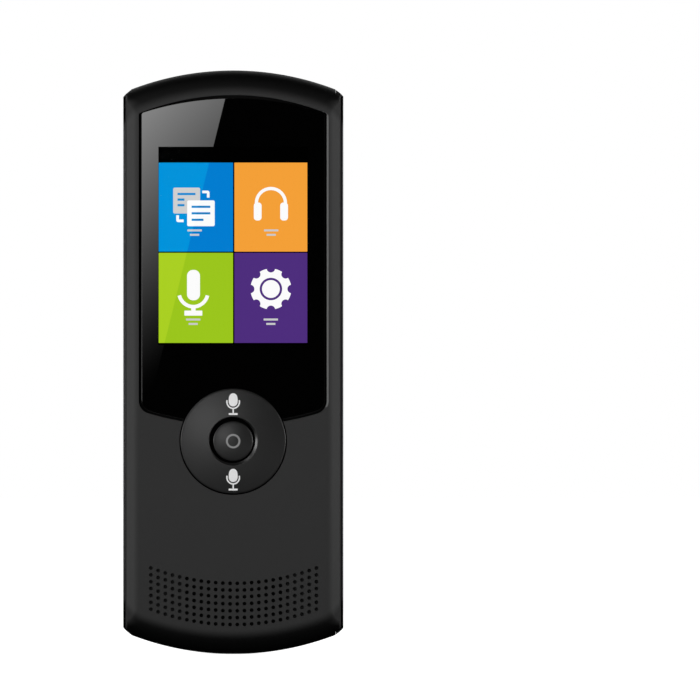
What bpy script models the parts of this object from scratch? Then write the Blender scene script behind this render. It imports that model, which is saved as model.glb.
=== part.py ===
"""Handheld voice translator, in metres, standing upright with its screen facing -Y.

X runs across the face, Y from front to rear and Z along the length. Every piece is drawn round the
centre of the body and hangs from one empty, which lifts it so that the origin is at the bottom.
"""

import math

import bmesh
import bpy
from mathutils import Vector

# Whole body
BODY_WIDTH = 0.0542
BODY_LENGTH = 0.1437
BODY_DEPTH = 0.0145
END_RADIUS = 0.070
CORNER_RADIUS = 0.0010
SEAM_GAP = 0.0003
SEAT_GAP = 0.0001
OVERRUN = 0.0040
WELD_DISTANCE = 0.000001

# Front housing, with depths measured back from its face
LIP_INSET = 0.0006
CHAMFER_WIDTH = 0.0030
CHAMFER_REST = 0.0003
CHAMFER_DEPTH = 0.00125
LIP_DEPTH = 0.00235
END_ROLL_WIDTH = 0.0058
END_ROLL_DEPTH = 0.00475
FACE_CORNER_RADIUS = 0.0030
FRONT_WALL = 0.00265
SIDE_WALL = 0.0015
END_WALL = 0.0020
END_PARTING_DEPTH = 0.00505
SIDE_PARTING_DEPTH = 0.01045
END_RETURN = 0.0082

# Side rails
RAIL_THICKNESS = 0.0016
RAIL_BEAD_RADIUS = 0.0008
RAIL_REAR_DROP = 0.0001

# Rear cover and end caps
REAR_WALL = 0.0015
PLATEAU_SIDE_SHARE = 0.484
PLATEAU_END_INSET = 0.01385
PLATEAU_CORNER_SHARE = 0.397
REAR_CORNER_RADIUS = 0.0012
CROWN_DEPTH = 0.0032
RIM_WIDTH = 0.0020
RIM_DEPTH = 0.0015
END_CAP_LENGTH = 0.01185
CAP_SEAM_RADIUS = 0.0780

# Cover lens and its recess
LENS_SIDE_MARGIN = 0.0043
LENS_TOP_MARGIN = 0.00695
LENS_BOTTOM_MARGIN = 0.05665
LENS_TOP_RADIUS = 0.0727
LENS_BOTTOM_RADIUS = 0.0720
LENS_TOP_CORNER = 0.0006
LENS_BOTTOM_CORNER = 0.0028
LENS_THICKNESS = 0.0010
LENS_SET_BACK = 0.00015
LENS_GAP = 0.00035
RECESS_TOP_GAP = 0.0012
RECESS_TOP_RADIUS = 0.0613
GASKET_THICKNESS = 0.0003
GASKET_WIDTH = 0.0012

# Display, whose active area comes to 36.72 by 48.96 mm
ACTIVE_SIDE_MARGIN = 0.00444
ACTIVE_DROP = 0.0117
ACTIVE_RISE = 0.01944
PANEL_SIDE_BORDER = 0.0025
PANEL_TOP_BORDER = 0.0020
PANEL_BOTTOM_BORDER = 0.0066
PANEL_THICKNESS = 0.0022
PANEL_CLEARANCE = 0.0003
BRACKET_THICKNESS = 0.0009
BRACKET_MARGIN = 0.0012
FLEX_WIDTH = 0.0140
FLEX_THICKNESS = 0.0002
FLEX_REACH = 0.0030
FLEX_SLOT_LENGTH = 0.0062

# Rocker ring and centre button
RING_DROP = 0.0042
RING_RADIUS = 0.01317
RING_HOLE_RADIUS = 0.0059
RING_BORE_RADIUS = 0.0054
RING_WELL_GAP = 0.00028
RING_PROUD = 0.0007
RING_EDGE_DROP = 0.0005
RING_TOP_WALL = 0.0014
RING_SKIRT_WALL = 0.0010
RING_FLANGE_WIDTH = 0.0010
RING_FLANGE_THICKNESS = 0.0006
RING_FLANGE_DEPTH = 0.0040
RING_TRAVEL_DEG = 2.0
PIVOT_RADIUS = 0.00025
PIVOT_LENGTH = 0.0012
PIVOT_TAB_WIDTH = 0.0030
PLUNGER_RADIUS = 0.0012
PLUNGER_OFFSET = 0.0093
BUTTON_RADIUS = 0.00495
BUTTON_DROP = 0.0001
BUTTON_CROWN = 0.0003
BUTTON_BODY_DEPTH = 0.0027
BUTTON_FLANGE_WIDTH = 0.0012
BUTTON_FLANGE_THICKNESS = 0.0005
BUTTON_FLANGE_GAP = 0.0004
BUTTON_STEM_RADIUS = 0.0011
BUTTON_TRAVEL = 0.0005
KEY_CLEARANCE = 0.00008

# Tact switches
SWITCH_WIDTH = 0.0042
SWITCH_HEIGHT = 0.0007
ACTUATOR_RADIUS = 0.0010
ACTUATOR_HEIGHT = 0.0003

# Front grille
GRILLE_COLUMNS = 24
GRILLE_ROWS = 7
GRILLE_SIDE_MARGIN = 0.0031
GRILLE_ROW_PITCH = 0.001685
GRILLE_HOLE_RADIUS = 0.000475
GRILLE_CENTRE_FROM_END = 0.00705
GRILLE_ARC_RADIUS = 0.0567
GRILLE_WALL = 0.0012
GRILLE_MARGIN = 0.0012
GRILLE_POCKET_GAP = 0.0011
MESH_THICKNESS = 0.0003

# Microphone
MIC_RADIUS = 0.0020
MIC_LENGTH = 0.0015
BOOT_WALL = 0.0009
MIC_FROM_END = 0.0118

# Main board and what it carries
BOARD_SIDE_MARGIN = 0.0051
BOARD_THICKNESS = 0.0010
BOARD_TOP_MARGIN = 0.01455
BOARD_SHOULDER_MARGIN = 0.01455
BOARD_TONGUE_WIDTH = 0.0180
BOARD_TONGUE_MARGIN = 0.0042
SHIELD_WIDTH = 0.0240
SHIELD_LENGTH = 0.0200
SHIELD_HEIGHT = 0.0016
SHIELD_EDGE = 0.0003
RADIO_WIDTH = 0.0110
RADIO_LENGTH = 0.0090
RADIO_HEIGHT = 0.0016
RADIO_SCREW_GAP = 0.0005
RADIO_FROM_END = 0.0210

# Battery
BATTERY_SIDE_MARGIN = 0.0081
BATTERY_FROM_END = 0.02805
BATTERY_THICKNESS = 0.0052
BATTERY_EDGE = 0.0015
BATTERY_FROM_SPEAKER = 0.0120
TAPE_THICKNESS = 0.0003
TAPE_MARGIN = 0.0060
PLUG_WIDTH = 0.0045
PLUG_LENGTH = 0.0040
PLUG_HEIGHT = 0.0018
PLUG_OFFSET = 0.0060
BATTERY_PLUG_GAP = 0.0040
LEAD_RADIUS = 0.0005
LEAD_SAG = 0.0012
LEAD_STEPS = 8
LEAD_SIDES = 8

# Rear speaker and badge
SPEAKER_FROM_TOP = 0.02975
SPEAKER_SHARE = 0.5516
SPEAKER_DEPTH = 0.0036
SPEAKER_FLANGE = 0.0008
SPEAKER_FRAME_WIDTH = 0.0026
SPEAKER_CONE_DEPTH = 0.0012
MAGNET_RADIUS = 0.0080
MAGNET_HEIGHT = 0.0014
SPEAKER_GASKET_THICKNESS = 0.0006
BADGE_RADIUS = 0.0045
BADGE_THICKNESS = 0.0006
BADGE_SET_BACK = 0.0001
BADGE_GAP = 0.0002
BADGE_CONE = 0.0002
REAR_HOLE_SPACING = 0.00082
REAR_HOLE_RADIUS = 0.00048
REAR_HOLE_BADGE_GAP = 0.0014
REAR_HOLE_EDGE = 0.0015
REAR_HOLE_PEAK = 0.0090
REAR_HOLE_FALL = 0.0075

# Micro-USB socket
USB_WIDTH = 0.0075
USB_HEIGHT = 0.0026
USB_LENGTH = 0.0056
USB_SHELL_WALL = 0.0003
USB_CHAMFER = 0.0008
USB_SET_BACK = 0.0006
USB_OPENING_GAP = 0.0004
USB_TONGUE_WIDTH = 0.0044
USB_TONGUE_THICKNESS = 0.0006
USB_TONGUE_LENGTH = 0.0036
USB_BLOCK_LENGTH = 0.0012

# Screws and bosses
CASE_SCREW_FROM_SIDE = 0.0111
CASE_SCREW_FROM_END = 0.01185
CASE_TAB_WIDTH = 0.0060
CASE_TAB_DEPTH = 0.0010
CASE_TAB_REAR_Y = 0.0032
CASE_TAB_REACH = 0.0028
CASE_TAB_ROOT = 0.0055
CASE_TAB_LENGTH = 0.0095
BOARD_SCREW_FROM_SIDE = 0.0081
BOARD_SCREW_FROM_END = 0.0255
BOSS_RADIUS = 0.0022
SCREW_RADIUS = 0.0007
SCREW_HOLE_GAP = 0.0002
SCREW_HEAD_RADIUS = 0.0015
SCREW_SIDES = 10
SCREW_HEAD_HEIGHT = 0.0008
SCREW_SLOT_RADIUS = 0.0006
SCREW_SLOT_DEPTH = 0.0004
CASE_SCREW_LENGTH = 0.0050
BOARD_SCREW_LENGTH = 0.0026

# Facets and shares
ARC_STEPS = 12
CORNER_STEPS = 3
ROUND_SIDES = 32
SMALL_SIDES = 16
HOLE_SIDES = 5
GOLDEN_ANGLE = math.pi * (3.0 - math.sqrt(5.0))
CROWN_SHARES = (0.0, 0.25, 0.5, 0.75, 1.0)
RIM_SHARES = (0.35, 0.7, 1.0)

# Places that follow from the sizes
HALF_WIDTH = BODY_WIDTH / 2
HALF_LENGTH = BODY_LENGTH / 2
FRONT_Y = -BODY_DEPTH / 2
REAR_Y = BODY_DEPTH / 2
SHELL_HALF_WIDTH = HALF_WIDTH - RAIL_THICKNESS - SEAM_GAP
LIP_HALF_WIDTH = HALF_WIDTH - LIP_INSET
INNER_Y = FRONT_Y + FRONT_WALL
CAVITY_HALF_WIDTH = SHELL_HALF_WIDTH - SIDE_WALL
CAVITY_HALF_LENGTH = HALF_LENGTH - END_WALL
LIP_Y = FRONT_Y + LIP_DEPTH
END_PARTING_Y = FRONT_Y + END_PARTING_DEPTH
SIDE_PARTING_Y = FRONT_Y + SIDE_PARTING_DEPTH
RETURN_Z = HALF_LENGTH - END_RETURN
PLATEAU_SIDE_INSET = PLATEAU_SIDE_SHARE * SHELL_HALF_WIDTH
PLATEAU_CORNER_RADIUS = PLATEAU_CORNER_SHARE * SHELL_HALF_WIDTH
RING_WELL_RADIUS = RING_RADIUS + RING_WELL_GAP
RING_TOP_Y = FRONT_Y - RING_PROUD
FLANGE_Y = RING_TOP_Y + RING_FLANGE_DEPTH
PIVOT_Y = FLANGE_Y + RING_FLANGE_THICKNESS
LENS_HALF_WIDTH = HALF_WIDTH - LENS_SIDE_MARGIN
LENS_TOP = HALF_LENGTH - LENS_TOP_MARGIN
LENS_BOTTOM = -HALF_LENGTH + LENS_BOTTOM_MARGIN
RING_Z = LENS_BOTTOM - RING_DROP
LENS_FRONT_Y = FRONT_Y + LENS_SET_BACK
LENS_BACK_Y = LENS_FRONT_Y + LENS_THICKNESS
GASKET_Y = LENS_BACK_Y + SEAT_GAP
LEDGE_Y = GASKET_Y + GASKET_THICKNESS + SEAT_GAP
ACTIVE_HALF_WIDTH = LENS_HALF_WIDTH - ACTIVE_SIDE_MARGIN
PANEL_HALF_WIDTH = ACTIVE_HALF_WIDTH + PANEL_SIDE_BORDER
ACTIVE_TOP = LENS_TOP - ACTIVE_DROP
ACTIVE_BOTTOM = LENS_BOTTOM + ACTIVE_RISE
PANEL_TOP = ACTIVE_TOP + PANEL_TOP_BORDER
PANEL_BOTTOM = ACTIVE_BOTTOM - PANEL_BOTTOM_BORDER
PANEL_FRONT_Y = GASKET_Y + GASKET_THICKNESS / 2
PANEL_BACK_Y = PANEL_FRONT_Y + PANEL_THICKNESS
BRACKET_BACK_Y = PANEL_BACK_Y + SEAT_GAP + BRACKET_THICKNESS
BOARD_FRONT_Y = BRACKET_BACK_Y + SEAM_GAP
BOARD_BACK_Y = BOARD_FRONT_Y + BOARD_THICKNESS
SWITCH_TOP_Y = BOARD_FRONT_Y - SEAT_GAP - SWITCH_HEIGHT - ACTUATOR_HEIGHT
PLUNGER_TRAVEL = PLUNGER_OFFSET * math.sin(math.radians(RING_TRAVEL_DEG))
PLUNGER_Y = SWITCH_TOP_Y - PLUNGER_TRAVEL - KEY_CLEARANCE
BUTTON_TOP_Y = RING_TOP_Y + BUTTON_DROP
BUTTON_STEM_Y = SWITCH_TOP_Y - BUTTON_TRAVEL - KEY_CLEARANCE
SPEAKER_Z = HALF_LENGTH - SPEAKER_FROM_TOP
SPEAKER_RADIUS = SPEAKER_SHARE * SHELL_HALF_WIDTH
INNER_PLATEAU_HALF_WIDTH = SHELL_HALF_WIDTH - REAR_WALL - PLATEAU_SIDE_INSET
SPEAKER_LEAN_SHARE = max(0.0, (SPEAKER_RADIUS - INNER_PLATEAU_HALF_WIDTH) / PLATEAU_SIDE_INSET)
SPEAKER_SEAT_Y = REAR_Y - REAR_WALL - CROWN_DEPTH * SPEAKER_LEAN_SHARE**2 - SEAT_GAP
SPEAKER_FRONT_Y = SPEAKER_SEAT_Y - SPEAKER_GASKET_THICKNESS - SEAT_GAP - SEAT_GAP
BATTERY_HALF_WIDTH = HALF_WIDTH - BATTERY_SIDE_MARGIN
BATTERY_TOP = SPEAKER_Z - SPEAKER_RADIUS - BATTERY_FROM_SPEAKER
BATTERY_BOTTOM = -HALF_LENGTH + BATTERY_FROM_END
BATTERY_FRONT_Y = BOARD_BACK_Y + SEAT_GAP + TAPE_THICKNESS + SEAT_GAP
USB_MOUTH_Z = -HALF_LENGTH + USB_SET_BACK
USB_Y = BOARD_BACK_Y + SEAT_GAP + USB_HEIGHT / 2
CASE_SCREW_X = HALF_WIDTH - CASE_SCREW_FROM_SIDE
CASE_SCREW_Z = HALF_LENGTH - CASE_SCREW_FROM_END
BOARD_SCREW_X = HALF_WIDTH - BOARD_SCREW_FROM_SIDE
BOARD_SCREW_Z = -HALF_LENGTH + BOARD_SCREW_FROM_END
SCREW_HOLE_RADIUS = SCREW_RADIUS + SCREW_HOLE_GAP
GRILLE_INNER_Y = FRONT_Y + GRILLE_WALL
GRILLE_HALF_WIDTH = LIP_HALF_WIDTH - CHAMFER_WIDTH - GRILLE_SIDE_MARGIN
GRILLE_POCKET_HALF_WIDTH = CASE_SCREW_X - BOSS_RADIUS - GRILLE_POCKET_GAP
RADIO_X = BOARD_SCREW_X - SCREW_HEAD_RADIUS - RADIO_SCREW_GAP - RADIO_WIDTH / 2


def clear_scene():
    for obj in list(bpy.data.objects):
        bpy.data.objects.remove(obj, do_unlink=True)


def make_material(name, color, roughness, metallic=0.0, alpha=1.0):
    material = bpy.data.materials.new(name)
    material.use_nodes = True
    shader = material.node_tree.nodes["Principled BSDF"]
    shader.inputs["Base Color"].default_value = (*color, 1.0)
    shader.inputs["Roughness"].default_value = roughness
    shader.inputs["Metallic"].default_value = metallic
    shader.inputs["Alpha"].default_value = alpha
    return material


def make_object(name, points, faces):
    """A closed mesh with its faces turned outwards."""
    mesh = bpy.data.meshes.new(name)
    mesh.from_pydata([Vector(p) for p in points], [], faces)
    sheet = bmesh.new()
    sheet.from_mesh(mesh)
    bmesh.ops.recalc_face_normals(sheet, faces=sheet.faces)
    sheet.to_mesh(mesh)
    sheet.free()
    obj = bpy.data.objects.new(name, mesh)
    bpy.context.scene.collection.objects.link(obj)
    return obj


def loft(name, rows):
    """Skin loops of equal length, and cap the first and the last."""
    count = len(rows[0])
    points = [p for row in rows for p in row]
    faces = [list(range(count)), list(range(len(points) - count, len(points)))]
    for i in range(len(rows) - 1):
        for j in range(count):
            k = (j + 1) % count
            faces.append([i * count + j, i * count + k, (i + 1) * count + k, (i + 1) * count + j])
    return make_object(name, points, faces)


def prism(name, outline, y_front, y_rear):
    """An outline of (x, z) points given thickness along Y."""
    return loft(name, [[(x, y, z) for x, z in outline] for y in (y_front, y_rear)])


def box(name, x, y, z):
    """A block between the two values of each pair."""
    outline = [(x[0], z[0]), (x[1], z[0]), (x[1], z[1]), (x[0], z[1])]
    return prism(name, outline, y[0], y[1])


def turned(name, profile, centre_x, centre_z, sides=ROUND_SIDES, closed=False):
    """Spin (radius, y) pairs about the Y axis through a centre.

    An open profile starts and ends on the axis, and a closed one makes a ring.
    """
    points, loops = [], []
    for radius, y in profile:
        if radius == 0:
            loops.append([len(points)])
            points.append((centre_x, y, centre_z))
            continue
        loops.append(list(range(len(points), len(points) + sides)))
        for i in range(sides):
            angle = math.tau * i / sides
            points.append((centre_x + radius * math.cos(angle), y, centre_z + radius * math.sin(angle)))
    pairs = list(zip(loops, loops[1:]))
    if closed:
        pairs.append((loops[-1], loops[0]))
    faces = []
    for a, b in pairs:
        for i in range(sides):
            k = (i + 1) % sides
            corners = [a[i % len(a)], a[k % len(a)], b[k % len(b)], b[i % len(b)]]
            faces.append(list(dict.fromkeys(corners)))
    return make_object(name, points, faces)


def holes(name, centres, y_front, y_rear, sides=HOLE_SIDES):
    """One cutter for many straight holes, from (x, z, radius) triples."""
    points, faces = [], []
    for x, z, radius in centres:
        first = len(points)
        for y in (y_front, y_rear):
            for i in range(sides):
                angle = math.tau * (i + 0.5) / sides
                points.append((x + radius * math.cos(angle), y, z + radius * math.sin(angle)))
        faces.append([first + i for i in range(sides)])
        faces.append([first + sides + i for i in range(sides)])
        for i in range(sides):
            k = (i + 1) % sides
            faces.append([first + i, first + k, first + sides + k, first + sides + i])
    return make_object(name, points, faces)


def weld(mesh):
    """Merge the doubled points that a Boolean can leave."""
    sheet = bmesh.new()
    sheet.from_mesh(mesh)
    bmesh.ops.remove_doubles(sheet, verts=sheet.verts, dist=WELD_DISTANCE)
    bmesh.ops.dissolve_degenerate(sheet, edges=sheet.edges, dist=WELD_DISTANCE)
    sheet.to_mesh(mesh)
    sheet.free()


def combine(target, tool, operation):
    """Apply one Boolean and delete its tool."""
    modifier = target.modifiers.new(operation.title(), "BOOLEAN")
    modifier.operation = operation
    modifier.solver = "EXACT"
    modifier.object = tool
    bpy.context.view_layer.update()
    result = target.evaluated_get(bpy.context.evaluated_depsgraph_get())
    mesh = bpy.data.meshes.new_from_object(result)
    weld(mesh)
    target.modifiers.clear()
    target.data = mesh
    bpy.data.objects.remove(tool, do_unlink=True)
    return target


def cut(target, tool):
    return combine(target, tool, "DIFFERENCE")


def join(target, tool):
    return combine(target, tool, "UNION")


def keep(target, tool):
    return combine(target, tool, "INTERSECT")


def end_points(half_width, apex, radius, corner):
    """The end of a slice, from its right side over the arc to its left side, as (x, z)."""
    centre_z = apex - radius
    corner_x = half_width - corner
    corner_z = centre_z + math.sqrt((radius - corner) ** 2 - corner_x**2)
    lean = math.atan2(corner_x, corner_z - centre_z)
    right = []
    for i in range(CORNER_STEPS + 1):
        angle = math.pi / 2 + (lean - math.pi / 2) * i / CORNER_STEPS
        right.append((corner_x + corner * math.sin(angle), corner_z + corner * math.cos(angle)))
    arc = []
    for i in range(1, ARC_STEPS):
        angle = lean - 2 * lean * i / ARC_STEPS
        arc.append((radius * math.sin(angle), centre_z + radius * math.cos(angle)))
    return right + arc + [(-x, z) for x, z in reversed(right)]


def plate_outline(half_width, top, bottom):
    """A slice with an (apex, radius, corner) at each end, the bottom apex measured downwards."""
    lower = [(x, -z) for x, z in reversed(end_points(half_width, *bottom))]
    return end_points(half_width, *top) + lower


def body_outline(half_width, half_length, radius, corner):
    return plate_outline(half_width, (half_length, radius, corner), (half_length, radius, corner))


def body_row(y, half_width, end_inset, corner, half_length=HALF_LENGTH, radius=END_RADIUS):
    outline = body_outline(half_width, half_length - end_inset, radius - end_inset, corner)
    return [(x, y, z) for x, z in outline]


def end_roll(depth):
    """How far the rolled end of the front housing stands in at a depth behind the face."""
    left = max(0.0, 1 - depth / END_ROLL_DEPTH)
    return END_ROLL_WIDTH * (1 - math.sqrt(1 - left**2))


def front_rows():
    """Slices of the front housing from its face to the top of its side walls."""
    rows = []
    chamfer = ((0.0, CHAMFER_WIDTH), (CHAMFER_DEPTH / 2, (CHAMFER_WIDTH + CHAMFER_REST) / 2),
               (CHAMFER_DEPTH, CHAMFER_REST), (LIP_DEPTH, 0.0))
    for depth, inset in chamfer:
        share = inset / CHAMFER_WIDTH
        corner = CORNER_RADIUS + (FACE_CORNER_RADIUS - CORNER_RADIUS) * share
        rows.append(body_row(FRONT_Y + depth, LIP_HALF_WIDTH - inset, end_roll(depth), corner))
    middle = (LIP_DEPTH + END_ROLL_DEPTH) / 2
    for depth in (LIP_DEPTH, middle, END_ROLL_DEPTH, SIDE_PARTING_DEPTH - SEAM_GAP / 2):
        rows.append(body_row(FRONT_Y + depth, SHELL_HALF_WIDTH, end_roll(depth), CORNER_RADIUS))
    return rows


def rear_rows(wall, bottom_y):
    """Slices of the crowned rear shell, offset inwards by a wall, from the plateau down."""
    rows = []
    reach = PLATEAU_END_INSET
    for share in CROWN_SHARES:
        rest = 1 - share
        corner = REAR_CORNER_RADIUS + (PLATEAU_CORNER_RADIUS - REAR_CORNER_RADIUS) * rest
        rows.append(body_row(REAR_Y - wall - CROWN_DEPTH * share**2,
                             SHELL_HALF_WIDTH - wall - PLATEAU_SIDE_INSET * rest,
                             wall + RIM_WIDTH + reach * rest, corner))
    for share in RIM_SHARES:
        inset = RIM_WIDTH * (1 - math.sqrt(1 - (1 - share) ** 2))
        rows.append(body_row(REAR_Y - wall - CROWN_DEPTH - RIM_DEPTH * share,
                             SHELL_HALF_WIDTH - wall, wall + inset, REAR_CORNER_RADIUS))
    rows.append(body_row(bottom_y, SHELL_HALF_WIDTH - wall, wall, REAR_CORNER_RADIUS))
    return rows


def lens_outline(margin=0.0):
    """The cover lens seen from the front, grown by a margin."""
    return plate_outline(LENS_HALF_WIDTH + margin,
                         (LENS_TOP + margin, LENS_TOP_RADIUS + margin, LENS_TOP_CORNER + margin),
                         (-LENS_BOTTOM + margin, LENS_BOTTOM_RADIUS + margin, LENS_BOTTOM_CORNER + margin))


def recess_outline():
    """The lens recess, whose top arc stands off from the lens in a crescent."""
    return plate_outline(LENS_HALF_WIDTH + LENS_GAP,
                         (LENS_TOP + RECESS_TOP_GAP, RECESS_TOP_RADIUS, LENS_TOP_CORNER),
                         (-LENS_BOTTOM + LENS_GAP, LENS_BOTTOM_RADIUS + LENS_GAP,
                          LENS_BOTTOM_CORNER + LENS_GAP))


def grille_arc(x):
    """How far the grille's rows rise from the centre column out to x."""
    return GRILLE_ARC_RADIUS - math.sqrt(GRILLE_ARC_RADIUS**2 - x**2)


def grille_holes():
    centres = []
    for column in range(GRILLE_COLUMNS):
        x = GRILLE_HALF_WIDTH * (2 * column / (GRILLE_COLUMNS - 1) - 1)
        for row in range(GRILLE_ROWS):
            z = -HALF_LENGTH + GRILLE_CENTRE_FROM_END + row * GRILLE_ROW_PITCH + grille_arc(x)
            centres.append((x, z, GRILLE_HOLE_RADIUS))
    return centres


def grille_band(margin):
    """The outline of the sound pocket behind the middle of the grille, grown by a margin.

    The holes beyond it are blind.
    """
    reach = GRILLE_POCKET_HALF_WIDTH - GRILLE_MARGIN + margin
    low = -HALF_LENGTH + GRILLE_CENTRE_FROM_END - margin
    high = low + (GRILLE_ROWS - 1) * GRILLE_ROW_PITCH + margin + margin
    across = [reach * (2 * i / ARC_STEPS - 1) for i in range(ARC_STEPS + 1)]
    lower = [(x, low + grille_arc(x)) for x in across]
    upper = [(x, high + grille_arc(x)) for x in reversed(across)]
    return lower + upper


def rear_holes():
    """Sunflower spiral of sound holes that swell and shrink between the badge and the rim."""
    centres = []
    first = math.ceil(((BADGE_RADIUS + REAR_HOLE_BADGE_GAP) / REAR_HOLE_SPACING) ** 2)
    last = math.floor(((SPEAKER_RADIUS - REAR_HOLE_EDGE) / REAR_HOLE_SPACING) ** 2)
    for i in range(first, last + 1):
        distance = REAR_HOLE_SPACING * math.sqrt(i)
        angle = i * GOLDEN_ANGLE
        fade = (distance - REAR_HOLE_PEAK) / REAR_HOLE_FALL
        centres.append((distance * math.cos(angle), SPEAKER_Z + distance * math.sin(angle),
                        REAR_HOLE_RADIUS * (1 - fade**2)))
    return centres


def screw_places(x, z_values):
    return [(side * x, z) for z in z_values for side in (-1, 1)]


CASE_SCREWS = screw_places(CASE_SCREW_X, (CASE_SCREW_Z, -CASE_SCREW_Z))
BOARD_SCREWS = screw_places(BOARD_SCREW_X, (BOARD_SCREW_Z,))


def front_housing():
    """Tub with the face, rolled ends, lens recess, key well, grille and screw bosses."""
    tub = loft("front_housing", front_rows())
    cavity = body_outline(CAVITY_HALF_WIDTH, CAVITY_HALF_LENGTH, END_RADIUS - END_WALL, CORNER_RADIUS)
    cut(tub, prism("cavity", cavity, INNER_Y, REAR_Y))
    for side in (-1, 1):
        ends = sorted((side * RETURN_Z, side * (HALF_LENGTH + OVERRUN)))
        wide = HALF_WIDTH + OVERRUN
        cut(tub, box("end_room", (-wide, wide), (END_PARTING_Y - SEAM_GAP / 2, REAR_Y), ends))
    boss_top = CASE_TAB_REAR_Y - CASE_TAB_DEPTH - SEAT_GAP
    for x, z in CASE_SCREWS:
        join(tub, turned("boss", [(0, INNER_Y - SEAM_GAP), (BOSS_RADIUS, INNER_Y - SEAM_GAP),
                                  (BOSS_RADIUS, boss_top), (0, boss_top)], x, z, SMALL_SIDES))
    board_boss_top = BOARD_FRONT_Y - SEAT_GAP
    for x, z in BOARD_SCREWS:
        join(tub, turned("boss", [(0, INNER_Y - SEAM_GAP), (BOSS_RADIUS, INNER_Y - SEAM_GAP),
                                  (BOSS_RADIUS, board_boss_top), (0, board_boss_top)], x, z, SMALL_SIDES))
    deep = [(x, z, SCREW_HOLE_RADIUS) for x, z in CASE_SCREWS + BOARD_SCREWS]
    cut(tub, holes("screw_holes", deep, INNER_Y, REAR_Y, SMALL_SIDES // 2))
    cut(tub, prism("lens_recess", recess_outline(), FRONT_Y - OVERRUN, LEDGE_Y))
    wide = PANEL_HALF_WIDTH + PANEL_CLEARANCE
    cut(tub, box("panel_window", (-wide, wide), (LEDGE_Y - OVERRUN, INNER_Y + OVERRUN),
                 (PANEL_BOTTOM - PANEL_CLEARANCE, PANEL_TOP + PANEL_CLEARANCE)))
    cut(tub, turned("key_well", [(0, FRONT_Y - OVERRUN), (RING_WELL_RADIUS, FRONT_Y - OVERRUN),
                                 (RING_WELL_RADIUS, INNER_Y + SEAM_GAP), (0, INNER_Y + SEAM_GAP)],
                    0, RING_Z))
    cut(tub, prism("grille_pocket", grille_band(GRILLE_MARGIN), GRILLE_INNER_Y, INNER_Y + SEAM_GAP))
    cut(tub, holes("grille", grille_holes(), FRONT_Y - OVERRUN, GRILLE_INNER_Y + SEAM_GAP))
    return tub


def rear_shell(name):
    """The whole crowned rear shell, before its seams are cut."""
    bottom_y = END_PARTING_Y + SEAM_GAP / 2
    shell = loft(name, rear_rows(0.0, bottom_y))
    cut(shell, loft("hollow", rear_rows(REAR_WALL, bottom_y - OVERRUN)))
    for side in (-1, 1):
        x = sorted((side * (CAVITY_HALF_WIDTH - SEAM_GAP), side * (HALF_WIDTH + OVERRUN)))
        cut(shell, box("side_room", x, (bottom_y - OVERRUN, SIDE_PARTING_Y + SEAM_GAP / 2),
                       (-RETURN_Z - SEAM_GAP, RETURN_Z + SEAM_GAP)))
    return shell


def seam_zone(margin):
    """The block between the two end-cap seams, grown by a margin."""
    apex = HALF_LENGTH - END_CAP_LENGTH + margin
    wide = SHELL_HALF_WIDTH + OVERRUN
    outline = body_outline(wide, apex, CAP_SEAM_RADIUS + margin, CORNER_RADIUS)
    return prism("seam_zone", outline, -BODY_DEPTH, BODY_DEPTH)


def back_cover():
    """Centre panel of the rear, with the speaker holes, badge seat and four screw tabs."""
    cover = keep(rear_shell("back_cover"), seam_zone(-SEAM_GAP / 2))
    front = CASE_TAB_REAR_Y - CASE_TAB_DEPTH
    for x, z in CASE_SCREWS:
        outward = math.copysign(1.0, z)
        root = z - outward * CASE_TAB_LENGTH
        shoulder = z - outward * CASE_TAB_ROOT
        tip = z + outward * CASE_TAB_REACH
        half = CASE_TAB_WIDTH / 2
        join(cover, box("tab", (x - half, x + half), (front, CASE_TAB_REAR_Y), sorted((root, tip))))
        join(cover, box("upstand", (x - half, x + half), (front, REAR_Y - REAR_WALL + SEAM_GAP),
                        sorted((root, shoulder))))
    tabs = [(x, z, SCREW_HOLE_RADIUS) for x, z in CASE_SCREWS]
    cut(cover, holes("tab_holes", tabs, front - OVERRUN, CASE_TAB_REAR_Y + SEAM_GAP, SMALL_SIDES // 2))
    seat_y = REAR_Y - BADGE_SET_BACK - BADGE_THICKNESS - SEAT_GAP
    seat = BADGE_RADIUS + BADGE_GAP
    cut(cover, turned("badge_seat", [(0, seat_y), (seat, seat_y), (seat, REAR_Y + OVERRUN),
                                     (0, REAR_Y + OVERRUN)], 0, SPEAKER_Z))
    cut(cover, holes("sound_holes", rear_holes(), REAR_Y - REAR_WALL - SEAM_GAP, REAR_Y + OVERRUN))
    return cover


def end_cap(name, side):
    """Rear piece that closes one end, from its seam round to the end wall."""
    cap = cut(rear_shell(name), seam_zone(SEAM_GAP / 2))
    wide = HALF_WIDTH + OVERRUN
    other = sorted((0, -side * (HALF_LENGTH + OVERRUN)))
    cut(cap, box("other_end", (-wide, wide), (-BODY_DEPTH, BODY_DEPTH), other))
    if side < 0:
        x = USB_WIDTH / 2 + USB_OPENING_GAP
        y = USB_HEIGHT / 2 + USB_OPENING_GAP
        z = (-HALF_LENGTH - OVERRUN, -HALF_LENGTH + OVERRUN)
        cut(cap, box("usb_opening", (-x, x), (USB_Y - y, USB_Y + y), z))
    return cap


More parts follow.
